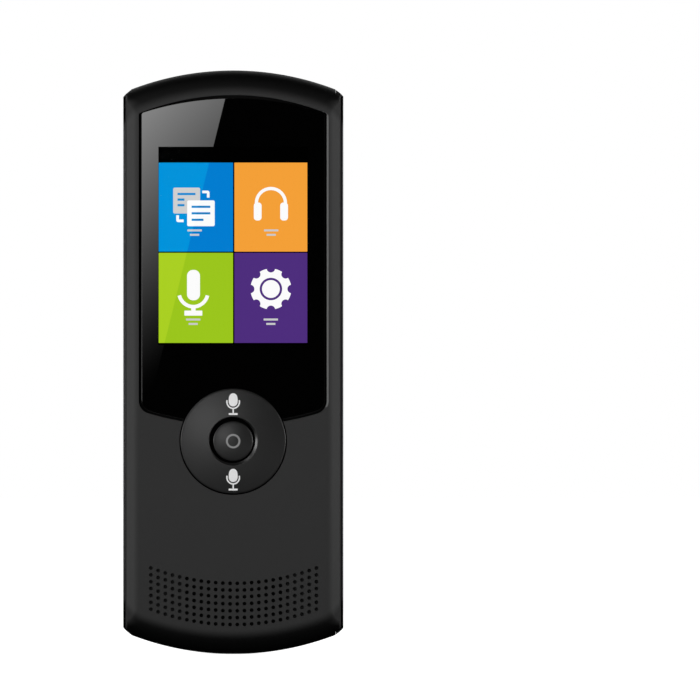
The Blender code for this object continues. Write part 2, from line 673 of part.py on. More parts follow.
def side_rail(name, side):
    """Trim strip along one side, with a rounded rear bead and ends that follow the body's arc."""
    outer, inner = HALF_WIDTH, HALF_WIDTH - RAIL_THICKNESS
    front_y = LIP_Y + SEAM_GAP
    bead_y = SIDE_PARTING_Y - RAIL_REAR_DROP
    profile = [(inner, front_y), (outer - RAIL_BEAD_RADIUS / 2, front_y),
               (outer, front_y + RAIL_BEAD_RADIUS / 2)]
    steps = SMALL_SIDES // 2
    for i in range(steps + 1):
        angle = math.pi * i / steps
        profile.append(((outer + inner) / 2 + RAIL_BEAD_RADIUS * math.cos(angle),
                        bead_y + RAIL_BEAD_RADIUS * math.sin(angle)))
    rows = []
    for end in (-1, 1):
        row = []
        for x, y in profile:
            reach = END_RADIUS - end_roll(y - FRONT_Y)
            centre = HALF_LENGTH - END_RADIUS
            row.append((side * x, y, end * (centre + math.sqrt(reach**2 - x**2))))
        rows.append(row)
    return loft(name, rows)


def cover_lens():
    lens = prism("cover_lens", lens_outline(), LENS_FRONT_Y, LENS_BACK_Y)
    well = [(0, LENS_FRONT_Y - OVERRUN), (RING_WELL_RADIUS, LENS_FRONT_Y - OVERRUN),
            (RING_WELL_RADIUS, LENS_BACK_Y + OVERRUN), (0, LENS_BACK_Y + OVERRUN)]
    return cut(lens, turned("ring_notch", well, 0, RING_Z))


def lens_gasket():
    """Die-cut adhesive frame between the lens and the ledge of its recess."""
    frame = prism("lens_gasket", lens_outline(-SEAM_GAP), GASKET_Y, GASKET_Y + GASKET_THICKNESS)
    wide = LENS_HALF_WIDTH - GASKET_WIDTH
    low = PANEL_BOTTOM - PANEL_CLEARANCE
    cut(frame, box("frame_opening", (-wide, wide), (LENS_FRONT_Y, INNER_Y),
                   (low, PANEL_TOP + PANEL_CLEARANCE)))
    well = [(0, LENS_FRONT_Y), (RING_WELL_RADIUS + SEAM_GAP, LENS_FRONT_Y),
            (RING_WELL_RADIUS + SEAM_GAP, INNER_Y), (0, INNER_Y)]
    return cut(frame, turned("ring_notch", well, 0, RING_Z))


def display_panel():
    return box("display_panel", (-PANEL_HALF_WIDTH, PANEL_HALF_WIDTH), (PANEL_FRONT_Y, PANEL_BACK_Y),
               (PANEL_BOTTOM, PANEL_TOP))


def inner_bracket():
    """Plate behind the display, with a round opening for the keys and two pads for the ring's pivots."""
    wide = PANEL_HALF_WIDTH + BRACKET_MARGIN
    front_y = PANEL_BACK_Y + SEAT_GAP
    low = RING_Z - RING_RADIUS - RING_FLANGE_WIDTH - PIVOT_TAB_WIDTH
    plate = box("inner_bracket", (-wide, wide), (front_y, BRACKET_BACK_Y), (low, PANEL_TOP))
    opening = RING_RADIUS + RING_FLANGE_WIDTH + SEAM_GAP + SEAM_GAP
    cut(plate, turned("key_opening", [(0, front_y - OVERRUN), (opening, front_y - OVERRUN),
                                      (opening, BRACKET_BACK_Y + OVERRUN), (0, BRACKET_BACK_Y + OVERRUN)],
                      0, RING_Z))
    half = PIVOT_TAB_WIDTH / 2
    for side in (-1, 1):
        x = sorted((side * (RING_RADIUS - RING_SKIRT_WALL), side * wide))
        y = (PIVOT_Y + PIVOT_RADIUS + SEAT_GAP, BRACKET_BACK_Y)
        join(plate, box("pivot_tab", x, y, (RING_Z - half, RING_Z + half)))
    slot = FLEX_WIDTH / 2 + SEAM_GAP
    cut(plate, box("flex_slot", (-slot, slot), (front_y - OVERRUN, BRACKET_BACK_Y + OVERRUN),
                   (PANEL_BOTTOM - OVERRUN, PANEL_BOTTOM - OVERRUN + FLEX_SLOT_LENGTH)))
    return plate


def display_flex():
    """Flat cable that leaves the display's lower edge and turns back to the board through a slot."""
    front_y = INNER_Y + SEAT_GAP
    rear_y = BOARD_FRONT_Y - SEAT_GAP
    centre_y = (front_y + rear_y) / 2
    radius = (rear_y - front_y) / 2
    start_z = PANEL_BOTTOM - SEAT_GAP
    centre_z = PANEL_BOTTOM - SEAM_GAP
    outer, inner = [(front_y, start_z)], [(front_y + FLEX_THICKNESS, start_z)]
    steps = SMALL_SIDES // 2
    for i in range(steps + 1):
        angle = math.pi * i / steps
        for line, reach in ((outer, radius), (inner, radius - FLEX_THICKNESS)):
            line.append((centre_y - reach * math.cos(angle), centre_z - reach * math.sin(angle)))
    outer.append((rear_y, centre_z + FLEX_REACH))
    inner.append((rear_y - FLEX_THICKNESS, centre_z + FLEX_REACH))
    outline = outer + inner[::-1]
    half = FLEX_WIDTH / 2
    return loft("display_flex", [[(x, y, z) for y, z in outline] for x in (-half, half)])


def ring_button():
    """Rocker ring: crowned cap, hollow below, with a flange under the housing and two plungers."""
    crown = (RING_RADIUS + RING_HOLE_RADIUS) / 2
    under = RING_TOP_Y + RING_TOP_WALL + RING_EDGE_DROP
    edge = RING_TOP_Y + RING_EDGE_DROP
    inner_wall = RING_BORE_RADIUS + RING_SKIRT_WALL
    bore_end = under + RING_SKIRT_WALL
    chamfer = RING_HOLE_RADIUS - RING_BORE_RADIUS
    profile = [(RING_BORE_RADIUS, bore_end), (RING_BORE_RADIUS, RING_TOP_Y + chamfer + chamfer),
               (RING_HOLE_RADIUS, RING_TOP_Y + chamfer / 2), (crown, RING_TOP_Y),
               (RING_RADIUS - RING_SKIRT_WALL, RING_TOP_Y + RING_EDGE_DROP / 2),
               (RING_RADIUS, edge + chamfer / 2), (RING_RADIUS, FLANGE_Y),
               (RING_RADIUS + RING_FLANGE_WIDTH, FLANGE_Y),
               (RING_RADIUS + RING_FLANGE_WIDTH, PIVOT_Y), (RING_RADIUS - RING_SKIRT_WALL, PIVOT_Y),
               (RING_RADIUS - RING_SKIRT_WALL, under), (inner_wall, under), (inner_wall, bore_end)]
    ring = turned("ring_button", profile, 0, RING_Z, closed=True)
    for side in (-1, 1):
        join(ring, turned("plunger", [(0, under - SEAM_GAP), (PLUNGER_RADIUS, under - SEAM_GAP),
                                      (PLUNGER_RADIUS, PLUNGER_Y), (0, PLUNGER_Y)],
                          0, RING_Z + side * PLUNGER_OFFSET, SMALL_SIDES))
        start = RING_RADIUS + RING_FLANGE_WIDTH / 2 - PIVOT_LENGTH
        rows = []
        for x in (start, start + PIVOT_LENGTH):
            row = []
            for i in range(SMALL_SIDES):
                angle = math.tau * i / SMALL_SIDES
                row.append((side * x, PIVOT_Y + PIVOT_RADIUS * math.cos(angle),
                            RING_Z + PIVOT_RADIUS * math.sin(angle)))
            rows.append(row)
        join(ring, loft("pivot", rows))
    return ring


def centre_button():
    """Round key with a low crown, a retaining flange under the ring and a stem."""
    body_end = BUTTON_TOP_Y + BUTTON_BODY_DEPTH + BUTTON_CROWN
    flange_y = RING_TOP_Y + RING_TOP_WALL + RING_EDGE_DROP + RING_SKIRT_WALL + BUTTON_FLANGE_GAP
    flange_end = max(flange_y, body_end) + BUTTON_FLANGE_THICKNESS
    flange = BUTTON_RADIUS + BUTTON_FLANGE_WIDTH
    profile = [(0, BUTTON_TOP_Y), (BUTTON_RADIUS / 2, BUTTON_TOP_Y + BUTTON_CROWN / 4),
               (BUTTON_RADIUS - BUTTON_CROWN, BUTTON_TOP_Y + BUTTON_CROWN),
               (BUTTON_RADIUS, BUTTON_TOP_Y + BUTTON_CROWN + BUTTON_CROWN),
               (BUTTON_RADIUS, flange_end - BUTTON_FLANGE_THICKNESS),
               (flange, flange_end - BUTTON_FLANGE_THICKNESS), (flange, flange_end),
               (BUTTON_STEM_RADIUS, flange_end), (BUTTON_STEM_RADIUS, BUTTON_STEM_Y), (0, BUTTON_STEM_Y)]
    return turned("centre_button", profile, 0, RING_Z)


def tact_switch(name, z):
    """Square tact switch with a round actuator."""
    base_y = BOARD_FRONT_Y - SEAT_GAP
    half = SWITCH_WIDTH / 2
    body = box(name, (-half, half), (base_y - SWITCH_HEIGHT, base_y), (z - half, z + half))
    top_y = base_y - SWITCH_HEIGHT - ACTUATOR_HEIGHT
    root_y = base_y - SWITCH_HEIGHT / 2
    return join(body, turned("actuator", [(0, top_y), (ACTUATOR_RADIUS, top_y),
                                          (ACTUATOR_RADIUS, root_y), (0, root_y)], 0, z, SMALL_SIDES))


def grille_mesh():
    front_y = GRILLE_INNER_Y + SEAT_GAP
    return prism("grille_mesh", grille_band(GRILLE_MARGIN - SEAM_GAP), front_y, front_y + MESH_THICKNESS)


def mic_z():
    return -HALF_LENGTH + MIC_FROM_END


def microphone():
    front_y = BOARD_FRONT_Y - SEAT_GAP - MIC_LENGTH
    return turned("microphone", [(0, front_y), (MIC_RADIUS, front_y), (MIC_RADIUS, front_y + MIC_LENGTH),
                                 (0, front_y + MIC_LENGTH)], 0, mic_z(), SMALL_SIDES)


def microphone_boot():
    """Rubber sleeve that carries sound from the mesh to the microphone on the board."""
    front_y = GRILLE_INNER_Y + SEAT_GAP + MESH_THICKNESS + SEAT_GAP
    rear_y = BOARD_FRONT_Y - SEAT_GAP
    step_y = rear_y - MIC_LENGTH - SEAT_GAP
    bore = MIC_RADIUS + SEAT_GAP
    outer = bore + BOOT_WALL
    throat = MIC_RADIUS / 2
    profile = [(throat, front_y), (outer, front_y), (outer, rear_y), (bore, rear_y), (bore, step_y),
               (throat, step_y)]
    return turned("microphone_boot", profile, 0, mic_z(), SMALL_SIDES, closed=True)


def main_board():
    """Circuit board with a tongue at the bottom for the charging socket."""
    half = HALF_WIDTH - BOARD_SIDE_MARGIN
    tongue = BOARD_TONGUE_WIDTH / 2
    top = HALF_LENGTH - BOARD_TOP_MARGIN
    shoulder = -HALF_LENGTH + BOARD_SHOULDER_MARGIN
    tip = -HALF_LENGTH + BOARD_TONGUE_MARGIN
    outline = [(-tongue, tip), (tongue, tip), (tongue, shoulder), (half, shoulder), (half, top),
               (-half, top), (-half, shoulder), (-tongue, shoulder)]
    board = prism("main_board", outline, BOARD_FRONT_Y, BOARD_BACK_Y)
    drilled = [(x, z, SCREW_HOLE_RADIUS) for x, z in BOARD_SCREWS]
    return cut(board, holes("drilled", drilled, BOARD_FRONT_Y - OVERRUN, BOARD_BACK_Y + OVERRUN,
                            SMALL_SIDES // 2))


def chamfered_block(name, x, y, z, edge):
    """Block whose rear face is drawn in all round by an edge."""
    rows = []
    for level, inset in ((y[0], 0.0), (y[1] - edge, 0.0), (y[1], edge)):
        rows.append([(x[0] + inset, level, z[0] + inset), (x[1] - inset, level, z[0] + inset),
                     (x[1] - inset, level, z[1] - inset), (x[0] + inset, level, z[1] - inset)])
    return loft(name, rows)


def shield_can():
    y = BOARD_BACK_Y + SEAT_GAP
    half_x, half_z = SHIELD_WIDTH / 2, SHIELD_LENGTH / 2
    return chamfered_block("shield_can", (-half_x, half_x), (y, y + SHIELD_HEIGHT),
                           (SPEAKER_Z - half_z, SPEAKER_Z + half_z), SHIELD_EDGE)


def wireless_module():
    y = BOARD_BACK_Y + SEAT_GAP
    half_x, half_z = RADIO_WIDTH / 2, RADIO_LENGTH / 2
    z = -HALF_LENGTH + RADIO_FROM_END
    return chamfered_block("wireless_module", (-RADIO_X - half_x, -RADIO_X + half_x),
                           (y, y + RADIO_HEIGHT), (z - half_z, z + half_z), SHIELD_EDGE)


def battery():
    """Pouch cell with drawn-in front and rear edges."""
    rear_y = BATTERY_FRONT_Y + BATTERY_THICKNESS
    rows = []
    for y, inset in ((BATTERY_FRONT_Y, BATTERY_EDGE / 2), (BATTERY_FRONT_Y + BATTERY_EDGE / 2, 0.0),
                     (rear_y - BATTERY_EDGE, 0.0), (rear_y, BATTERY_EDGE)):
        x, bottom, top = BATTERY_HALF_WIDTH - inset, BATTERY_BOTTOM + inset, BATTERY_TOP - inset
        rows.append([(-x, y, bottom), (x, y, bottom), (x, y, top), (-x, y, top)])
    return loft("battery", rows)


def battery_tape():
    half = BATTERY_HALF_WIDTH - TAPE_MARGIN
    y = BOARD_BACK_Y + SEAT_GAP
    return box("battery_tape", (-half, half), (y, y + TAPE_THICKNESS),
               (BATTERY_BOTTOM + TAPE_MARGIN, BATTERY_TOP - TAPE_MARGIN))


def plug_block(name, x, z):
    y = BOARD_BACK_Y + SEAT_GAP
    half_x, half_z = PLUG_WIDTH / 2, PLUG_LENGTH / 2
    return chamfered_block(name, (x - half_x, x + half_x), (y, y + PLUG_HEIGHT),
                           (z - half_z, z + half_z), SHIELD_EDGE)


def lead(name, start, end):
    """Round lead between two points along Z, which bows towards the rear cover on the way."""
    rows = []
    for i in range(LEAD_STEPS + 1):
        share = i / LEAD_STEPS
        bow = LEAD_SAG * math.sin(math.pi * share)
        x = start[0] + (end[0] - start[0]) * share
        y = start[1] + (end[1] - start[1]) * share + bow
        z = start[2] + (end[2] - start[2]) * share
        angles = [math.tau * k / LEAD_SIDES for k in range(LEAD_SIDES)]
        rows.append([(x + LEAD_RADIUS * math.cos(a), y + LEAD_RADIUS * math.sin(a), z) for a in angles])
    return loft(name, rows)


def rear_speaker():
    """Round speaker: rim, dished cone and magnet."""
    front = SPEAKER_FRONT_Y
    back = front - SPEAKER_DEPTH
    rim = SPEAKER_RADIUS - SPEAKER_FRAME_WIDTH
    profile = [(0, front - SPEAKER_CONE_DEPTH / 2), (rim / 2, front - SPEAKER_CONE_DEPTH),
               (rim, front - SPEAKER_FLANGE / 2), (rim, front), (SPEAKER_RADIUS, front),
               (SPEAKER_RADIUS, front - SPEAKER_FLANGE),
               (MAGNET_RADIUS + SPEAKER_FLANGE, back + MAGNET_HEIGHT),
               (MAGNET_RADIUS, back + MAGNET_HEIGHT), (MAGNET_RADIUS, back), (0, back)]
    return turned("rear_speaker", profile, 0, SPEAKER_Z)


def speaker_gasket():
    front = SPEAKER_FRONT_Y + SEAT_GAP
    rear = front + SPEAKER_GASKET_THICKNESS
    rim = SPEAKER_RADIUS - SPEAKER_FRAME_WIDTH / 2
    profile = [(rim, front), (SPEAKER_RADIUS, front), (SPEAKER_RADIUS, rear), (rim, rear)]
    return turned("speaker_gasket", profile, 0, SPEAKER_Z, closed=True)


def speaker_badge():
    """Spun metal disc with a shallow cone turned into its face."""
    rear = REAR_Y - BADGE_SET_BACK
    front = rear - BADGE_THICKNESS
    profile = [(0, front), (BADGE_RADIUS, front), (BADGE_RADIUS, rear - BADGE_CONE),
               (BADGE_RADIUS - BADGE_CONE, rear), (0, rear - BADGE_CONE)]
    return turned("speaker_badge", profile, 0, SPEAKER_Z)


def usb_outline(inset):
    """Trapezoid of the socket's mouth in (x, y), its narrow side towards the rear."""
    x = USB_WIDTH / 2 - inset
    y = USB_HEIGHT / 2 - inset
    return [(-x, USB_Y - y), (x, USB_Y - y), (x, USB_Y + y - USB_CHAMFER),
            (x - USB_CHAMFER, USB_Y + y), (-x + USB_CHAMFER, USB_Y + y), (-x, USB_Y + y - USB_CHAMFER)]


def micro_usb_shell():
    rear_z = USB_MOUTH_Z + USB_LENGTH
    shell = loft("micro_usb_shell", [[(x, y, z) for x, y in usb_outline(0.0)]
                                     for z in (USB_MOUTH_Z, rear_z)])
    return cut(shell, loft("mouth", [[(x, y, z) for x, y in usb_outline(USB_SHELL_WALL)]
                                     for z in (USB_MOUTH_Z - OVERRUN, rear_z + OVERRUN)]))


def micro_usb_insert():
    """Moulded block that closes the back of the shell and carries the contact tongue."""
    rear_z = USB_MOUTH_Z + USB_LENGTH
    front_z = rear_z - USB_BLOCK_LENGTH
    block = loft("micro_usb_insert", [[(x, y, z) for x, y in usb_outline(USB_SHELL_WALL + SEAT_GAP)]
                                      for z in (front_z, rear_z)])
    half_x, half_y = USB_TONGUE_WIDTH / 2, USB_TONGUE_THICKNESS / 2
    return join(block, box("tongue", (-half_x, half_x), (USB_Y - half_y, USB_Y + half_y),
                           (front_z - USB_TONGUE_LENGTH, front_z + USB_BLOCK_LENGTH / 2)))


def screw(name, x, z, seat_y, length):
    """Pan-head screw driven towards the front, its head resting behind the seat."""
    head = seat_y + SEAT_GAP
    top = head + SCREW_HEAD_HEIGHT
    profile = [(0, head - length), (SCREW_RADIUS, head - length + SCREW_RADIUS), (SCREW_RADIUS, head),
               (SCREW_HEAD_RADIUS, head), (SCREW_HEAD_RADIUS, top - SCREW_SLOT_DEPTH),
               (SCREW_HEAD_RADIUS - SCREW_SLOT_DEPTH, top), (SCREW_SLOT_RADIUS, top),
               (0, top - SCREW_SLOT_DEPTH)]
    return turned(name, profile, x, z, SCREW_SIDES)


def place(obj, material, root, pivot=None):
    """Give a piece its material and hang it from the root, with its origin at its pivot if it moves."""
    obj.data.materials.clear()
    obj.data.materials.append(material)
    if pivot is not None:
        for vertex in obj.data.vertices:
            vertex.co -= Vector(pivot)
        obj.location = pivot
    obj.parent = root
    obj.data.shade_smooth()
    obj.data.set_sharp_from_angle(angle=math.radians(35))


def build():
    clear_scene()
    root = bpy.data.objects.new("translator", None)
    root.location = (0, RING_PROUD / 2, HALF_LENGTH)
    bpy.context.scene.collection.objects.link(root)

    charcoal = make_material("moulded_charcoal", (0.028, 0.028, 0.029), 0.5)
    piano_black = make_material("gloss_black", (0.006, 0.006, 0.007), 0.15)
    trim = make_material("trim_metal", (0.09, 0.09, 0.095), 0.3, 0.8)
    glass = make_material("lens_glass", (0.004, 0.004, 0.005), 0.04)
    screen = make_material("display", (0.02, 0.12, 0.45), 0.2)
    key_black = make_material("key_black", (0.022, 0.022, 0.023), 0.42)
    key_centre = make_material("key_centre", (0.018, 0.018, 0.019), 0.4)
    foam = make_material("black_foam", (0.012, 0.012, 0.012), 0.9)
    rubber = make_material("black_rubber", (0.015, 0.015, 0.015), 0.8)
    board_green = make_material("board_green", (0.01, 0.09, 0.035), 0.45)
    steel = make_material("steel", (0.55, 0.55, 0.56), 0.3, 1.0)
    tin = make_material("tinplate", (0.62, 0.62, 0.63), 0.35, 1.0)
    polymer = make_material("bracket_plastic", (0.04, 0.04, 0.042), 0.6)
    amber = make_material("flex_amber", (0.36, 0.15, 0.03), 0.4)
    silver = make_material("cell_foil", (0.5, 0.52, 0.54), 0.4, 0.6)
    red = make_material("lead_red", (0.5, 0.02, 0.02), 0.5)
    spun = make_material("spun_metal", (0.05, 0.05, 0.052), 0.25, 1.0)
    cream = make_material("connector_cream", (0.6, 0.57, 0.48), 0.5)
    weave = make_material("mesh_weave", (0.01, 0.01, 0.01), 0.95)

    place(front_housing(), charcoal, root)
    place(back_cover(), piano_black, root)
    place(end_cap("top_end_cap", 1), piano_black, root)
    place(end_cap("bottom_end_cap", -1), piano_black, root)
    place(side_rail("left_side_rail", -1), trim, root)
    place(side_rail("right_side_rail", 1), trim, root)
    place(cover_lens(), glass, root)
    place(lens_gasket(), foam, root)
    place(display_panel(), screen, root)
    place(inner_bracket(), polymer, root)
    place(display_flex(), amber, root)
    place(ring_button(), key_black, root, (0, PIVOT_Y, RING_Z))
    place(centre_button(), key_centre, root, (0, BUTTON_TOP_Y, RING_Z))
    switches = (("upper_switch", PLUNGER_OFFSET), ("centre_switch", 0), ("lower_switch", -PLUNGER_OFFSET))
    for name, offset in switches:
        place(tact_switch(name, RING_Z + offset), steel, root)
    place(grille_mesh(), weave, root)
    place(microphone(), tin, root)
    place(microphone_boot(), rubber, root)
    place(main_board(), board_green, root)
    place(shield_can(), tin, root)
    place(wireless_module(), tin, root)
    place(battery(), silver, root)
    place(battery_tape(), foam, root)
    lead_y = BOARD_BACK_Y + SEAT_GAP + PLUG_HEIGHT / 2
    plug_z = BATTERY_BOTTOM - BATTERY_PLUG_GAP - PLUG_LENGTH / 2
    place(plug_block("battery_plug", PLUG_OFFSET, plug_z), cream, root)
    place(lead("battery_lead", (PLUG_OFFSET, lead_y, plug_z + PLUG_LENGTH / 2 + SEAM_GAP),
               (PLUG_OFFSET, lead_y + LEAD_RADIUS, BATTERY_BOTTOM - SEAM_GAP)), red, root)
    speaker_low = SPEAKER_Z - SPEAKER_RADIUS
    jack_z = BATTERY_TOP + SEAM_GAP + PLUG_LENGTH / 2
    place(plug_block("speaker_plug", PLUG_OFFSET, jack_z), cream, root)
    place(lead("speaker_lead", (PLUG_OFFSET, lead_y, jack_z + PLUG_LENGTH / 2 + SEAM_GAP),
               (PLUG_OFFSET, SPEAKER_FRONT_Y - SPEAKER_DEPTH + MAGNET_HEIGHT + LEAD_RADIUS,
                speaker_low + SPEAKER_FRAME_WIDTH)), red, root)
    place(rear_speaker(), polymer, root)
    place(speaker_gasket(), foam, root)
    place(speaker_badge(), spun, root)
    place(micro_usb_shell(), steel, root)
    place(micro_usb_insert(), polymer, root)
    for i, (x, z) in enumerate(CASE_SCREWS):
        place(screw(f"case_screw_{i + 1}", x, z, CASE_TAB_REAR_Y, CASE_SCREW_LENGTH), steel, root)
    for i, (x, z) in enumerate(BOARD_SCREWS):
        place(screw(f"board_screw_{i + 1}", x, z, BOARD_BACK_Y, BOARD_SCREW_LENGTH), steel, root)


build()
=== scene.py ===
import math

import bmesh
import bpy
import numpy as np
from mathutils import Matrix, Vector


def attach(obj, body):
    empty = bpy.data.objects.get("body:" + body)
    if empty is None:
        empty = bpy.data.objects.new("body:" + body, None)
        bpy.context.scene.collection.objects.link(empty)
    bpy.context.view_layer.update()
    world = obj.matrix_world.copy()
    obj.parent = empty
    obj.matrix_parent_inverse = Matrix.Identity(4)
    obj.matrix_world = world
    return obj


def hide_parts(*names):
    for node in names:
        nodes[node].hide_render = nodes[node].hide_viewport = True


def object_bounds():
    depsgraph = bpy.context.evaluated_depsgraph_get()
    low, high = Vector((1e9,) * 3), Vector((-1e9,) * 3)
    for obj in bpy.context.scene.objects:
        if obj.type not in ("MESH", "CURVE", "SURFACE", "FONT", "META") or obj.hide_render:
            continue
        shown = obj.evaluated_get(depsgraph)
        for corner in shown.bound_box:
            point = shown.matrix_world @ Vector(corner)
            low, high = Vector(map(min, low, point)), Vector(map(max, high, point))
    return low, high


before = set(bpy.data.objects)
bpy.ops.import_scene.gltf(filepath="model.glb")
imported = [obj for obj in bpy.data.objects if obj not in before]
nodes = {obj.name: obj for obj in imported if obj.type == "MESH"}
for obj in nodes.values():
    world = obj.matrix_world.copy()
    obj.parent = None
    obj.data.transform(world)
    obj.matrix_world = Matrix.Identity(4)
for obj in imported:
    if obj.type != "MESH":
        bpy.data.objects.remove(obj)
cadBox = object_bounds()
scene = bpy.context.scene
scene.view_settings.view_transform = "Standard"
print("frame loaded,", len(nodes), "nodes")

# All shapes are worked out in millimetres round the middle of the body, front towards -Y, top towards +Z.
mm = 0.001
body = {"halfWidth": 27.1, "halfLength": 71.85, "front": -7.25, "rear": 7.25, "endRadius": 70.0,
        "shell": 25.2, "seam": 0.3}
middle = np.array([0.0, cadBox[1].y / mm - body["rear"], body["halfLength"]])
# a long lens straight in front, which leaves the right half of the picture empty
view = {"lens": 800.0, "pixel": 0.2464, "right": 28.73, "up": 3.01}
view["away"] = 700 * view["pixel"] * view["lens"] / 36.0


def quads(rows, columns, closedRows=False, closedColumns=True):
    # corner numbers of the four-sided faces of a grid of points kept row by row
    r = np.arange(rows if closedRows else rows - 1)[:, None]
    c = np.arange(columns if closedColumns else columns - 1)[None, :]
    after, beyond = (c + 1) % columns, (r + 1) % rows
    corners = [r * columns + c, r * columns + after, beyond * columns + after, beyond * columns + c]
    return np.stack(np.broadcast_arrays(*corners), -1).reshape(-1, 4).tolist()


def loft(rows, closed=False):
    # skin over loops of points, with the first and last loop filled unless the rows close on themselves
    rows = np.asarray(rows, float)
    count, around = rows.shape[:2]
    faces = quads(count, around, closed)
    if not closed:
        faces += [list(range(around)), list(range((count - 1) * around, count * around))]
    return rows.reshape(-1, 3), faces


def prism(outline, yFront, yRear):
    # an outline of (x, z) drawn out from one depth to another
    outline = np.asarray(outline, float)
    rows = [np.insert(outline, 1, y, axis=1) for y in (yFront, yRear)]
    return loft(rows)


def block(x, y, z):
    return prism([(x[0], z[0]), (x[1], z[0]), (x[1], z[1]), (x[0], z[1])], y[0], y[1])


def turned(profile, x=0.0, z=0.0, sides=144, closed=False):
    # each (radius, depth) goes once round a line along Y: x + r cos a, y, z + r sin a
    profile = np.asarray(profile, float)
    angle = np.linspace(0, 2 * np.pi, sides, endpoint=False)
    rows = np.stack([x + profile[:, :1] * np.cos(angle), np.repeat(profile[:, 1:], sides, 1),
                     z + profile[:, :1] * np.sin(angle)], -1)
    return loft(rows, closed)


def rod(radius, yFront, yRear, x, z, sides=144):
    return turned([(0, yFront), (radius, yFront), (radius, yRear), (0, yRear)], x, z, sides)


def drills(spots, yFront, yRear, sides):
    # a straight round cutter for every (x, z, radius)
    spots = np.asarray(spots, float)
    angle = np.linspace(0, 2 * np.pi, sides, endpoint=False)
    points = np.empty((len(spots), 2, sides, 3))
    points[..., 0] = (spots[:, 0, None] + spots[:, 2, None] * np.cos(angle))[:, None]
    points[..., 2] = (spots[:, 1, None] + spots[:, 2, None] * np.sin(angle))[:, None]
    points[:, 0, :, 1], points[:, 1, :, 1] = yFront, yRear
    near = np.arange(len(spots))[:, None] * 2 * sides + np.arange(sides)
    far = near + sides
    walls = np.stack([near, np.roll(near, -1, 1), np.roll(far, -1, 1), far], -1).reshape(-1, 4)
    return points.reshape(-1, 3), near.tolist() + far.tolist() + walls.tolist()


def together(parts):
    points, faces, first = [], [], 0
    for partPoints, partFaces in parts:
        points.append(partPoints)
        faces += [[first + i for i in face] for face in partFaces]
        first += len(partPoints)
    return np.concatenate(points), faces


def softened(corners, reach, steps=6):
    # a line whose inner corners B turn into curves (1-s)^2 A' + 2s(1-s) B + s^2 C', reach away on both sides
    corners = np.asarray(corners, float)
    reach = np.broadcast_to(np.asarray(reach, float), len(corners))
    s = np.linspace(0, 1, steps + 1)[:, None]
    line = [corners[:1]]
    for before, here, after, r in zip(corners, corners[1:], corners[2:], reach[1:]):
        back, on = before - here, after - here
        start = here + back * min(0.5, r / np.linalg.norm(back))
        end = here + on * min(0.5, r / np.linalg.norm(on))
        line.append((1 - s) ** 2 * start + 2 * s * (1 - s) * here + s ** 2 * end)
    line.append(corners[-1:])
    return np.concatenate(line)


def endCurve(halfWidth, apex, radius, corner, arcSteps=96, cornerSteps=10):
    # one end of a slice, right to left: a quarter of the corner circle, the end arc and the corner again
    halfWidth, apex, radius, corner = (np.asarray(v, float)[..., None] for v in
                                       np.broadcast_arrays(halfWidth, apex, radius, corner))
    arcMiddle, cornerX = apex - radius, halfWidth - corner
    cornerZ = arcMiddle + np.sqrt((radius - corner) ** 2 - cornerX ** 2)
    lean = np.arctan2(cornerX, cornerZ - arcMiddle)
    turn = np.pi / 2 + (lean - np.pi / 2) * np.linspace(0, 1, cornerSteps + 1)
    sweep = lean - 2 * lean * np.linspace(0, 1, arcSteps + 1)[1:-1]
    x = cornerX + corner * np.sin(turn)
    z = cornerZ + corner * np.cos(turn)
    return (np.concatenate([x, radius * np.sin(sweep), -x[..., ::-1]], -1),
            np.concatenate([z, arcMiddle + radius * np.cos(sweep), z[..., ::-1]], -1))


def slices(y, top, bottom=None):
    # closed loops at the depths y, from (half width, apex, radius, corner) of the top and bottom ends
    y = np.atleast_1d(np.asarray(y, float))
    xTop, zTop = endCurve(*[np.broadcast_to(v, y.shape) for v in top])
    xLow, zLow = endCurve(*[np.broadcast_to(v, y.shape) for v in bottom or top])
    x = np.concatenate([xTop, xLow[:, ::-1]], 1)
    z = np.concatenate([zTop, -zLow[:, ::-1]], 1)
    return np.stack([x, np.broadcast_to(y[:, None], x.shape), z], -1)


def bodySlices(y, halfWidth, inset, corner):
    return slices(y, (halfWidth, body["halfLength"] - inset, body["endRadius"] - inset, corner))


def band(path, halfWidth, surface, lift, sink, across=5):
    # a thin strip along a path of (x, z): path + side * t * width, laid on the depth surface(x, z)
    path = np.asarray(path, float)
    along = np.gradient(path, axis=0)
    along /= np.linalg.norm(along, axis=1, keepdims=True)
    side = np.stack([-along[:, 1], along[:, 0]], -1)
    width = np.broadcast_to(np.asarray(halfWidth, float), len(path))[:, None, None]
    flat = path[:, None] + side[:, None] * np.linspace(-1, 1, across)[:, None] * width
    depth = surface(flat[..., 0], flat[..., 1])
    over = np.stack([flat[..., 0], depth - lift, flat[..., 1]], -1)
    under = np.stack([flat[..., 0], depth + sink, flat[..., 1]], -1)
    return loft(np.concatenate([over, under[:, ::-1]], 1))


def plate(x, z, radius, surface, lift, sink, steps=12):
    # a flat shape with rounded corners, as a band up its middle whose width follows the corner circles
    halfWide, halfTall = (x[1] - x[0]) / 2, (z[1] - z[0]) / 2
    turn = np.linspace(0.02, np.pi / 2, steps)
    end = halfTall - radius * (1 - np.cos(turn))
    up = np.concatenate([-end, end[::-1]])
    width = halfWide - radius + radius * np.concatenate([np.sin(turn), np.sin(turn[::-1])])
    if radius >= halfTall:
        up, width = np.delete(up, steps), np.delete(width, steps)
    path = np.stack([np.full(len(up), (x[0] + x[1]) / 2), (z[0] + z[1]) / 2 + up], -1)
    return band(path, width, surface, lift, sink)


def raw(name, shape):
    # the shape as a mesh in metres, its doubles merged and its faces turned outwards
    points, faces = shape
    mesh = bpy.data.meshes.new(name)
    mesh.from_pydata(((np.asarray(points) + middle) * mm).tolist(), [], faces)
    tidy(mesh)
    piece = bpy.data.objects.new(name, mesh)
    scene.collection.objects.link(piece)
    return piece


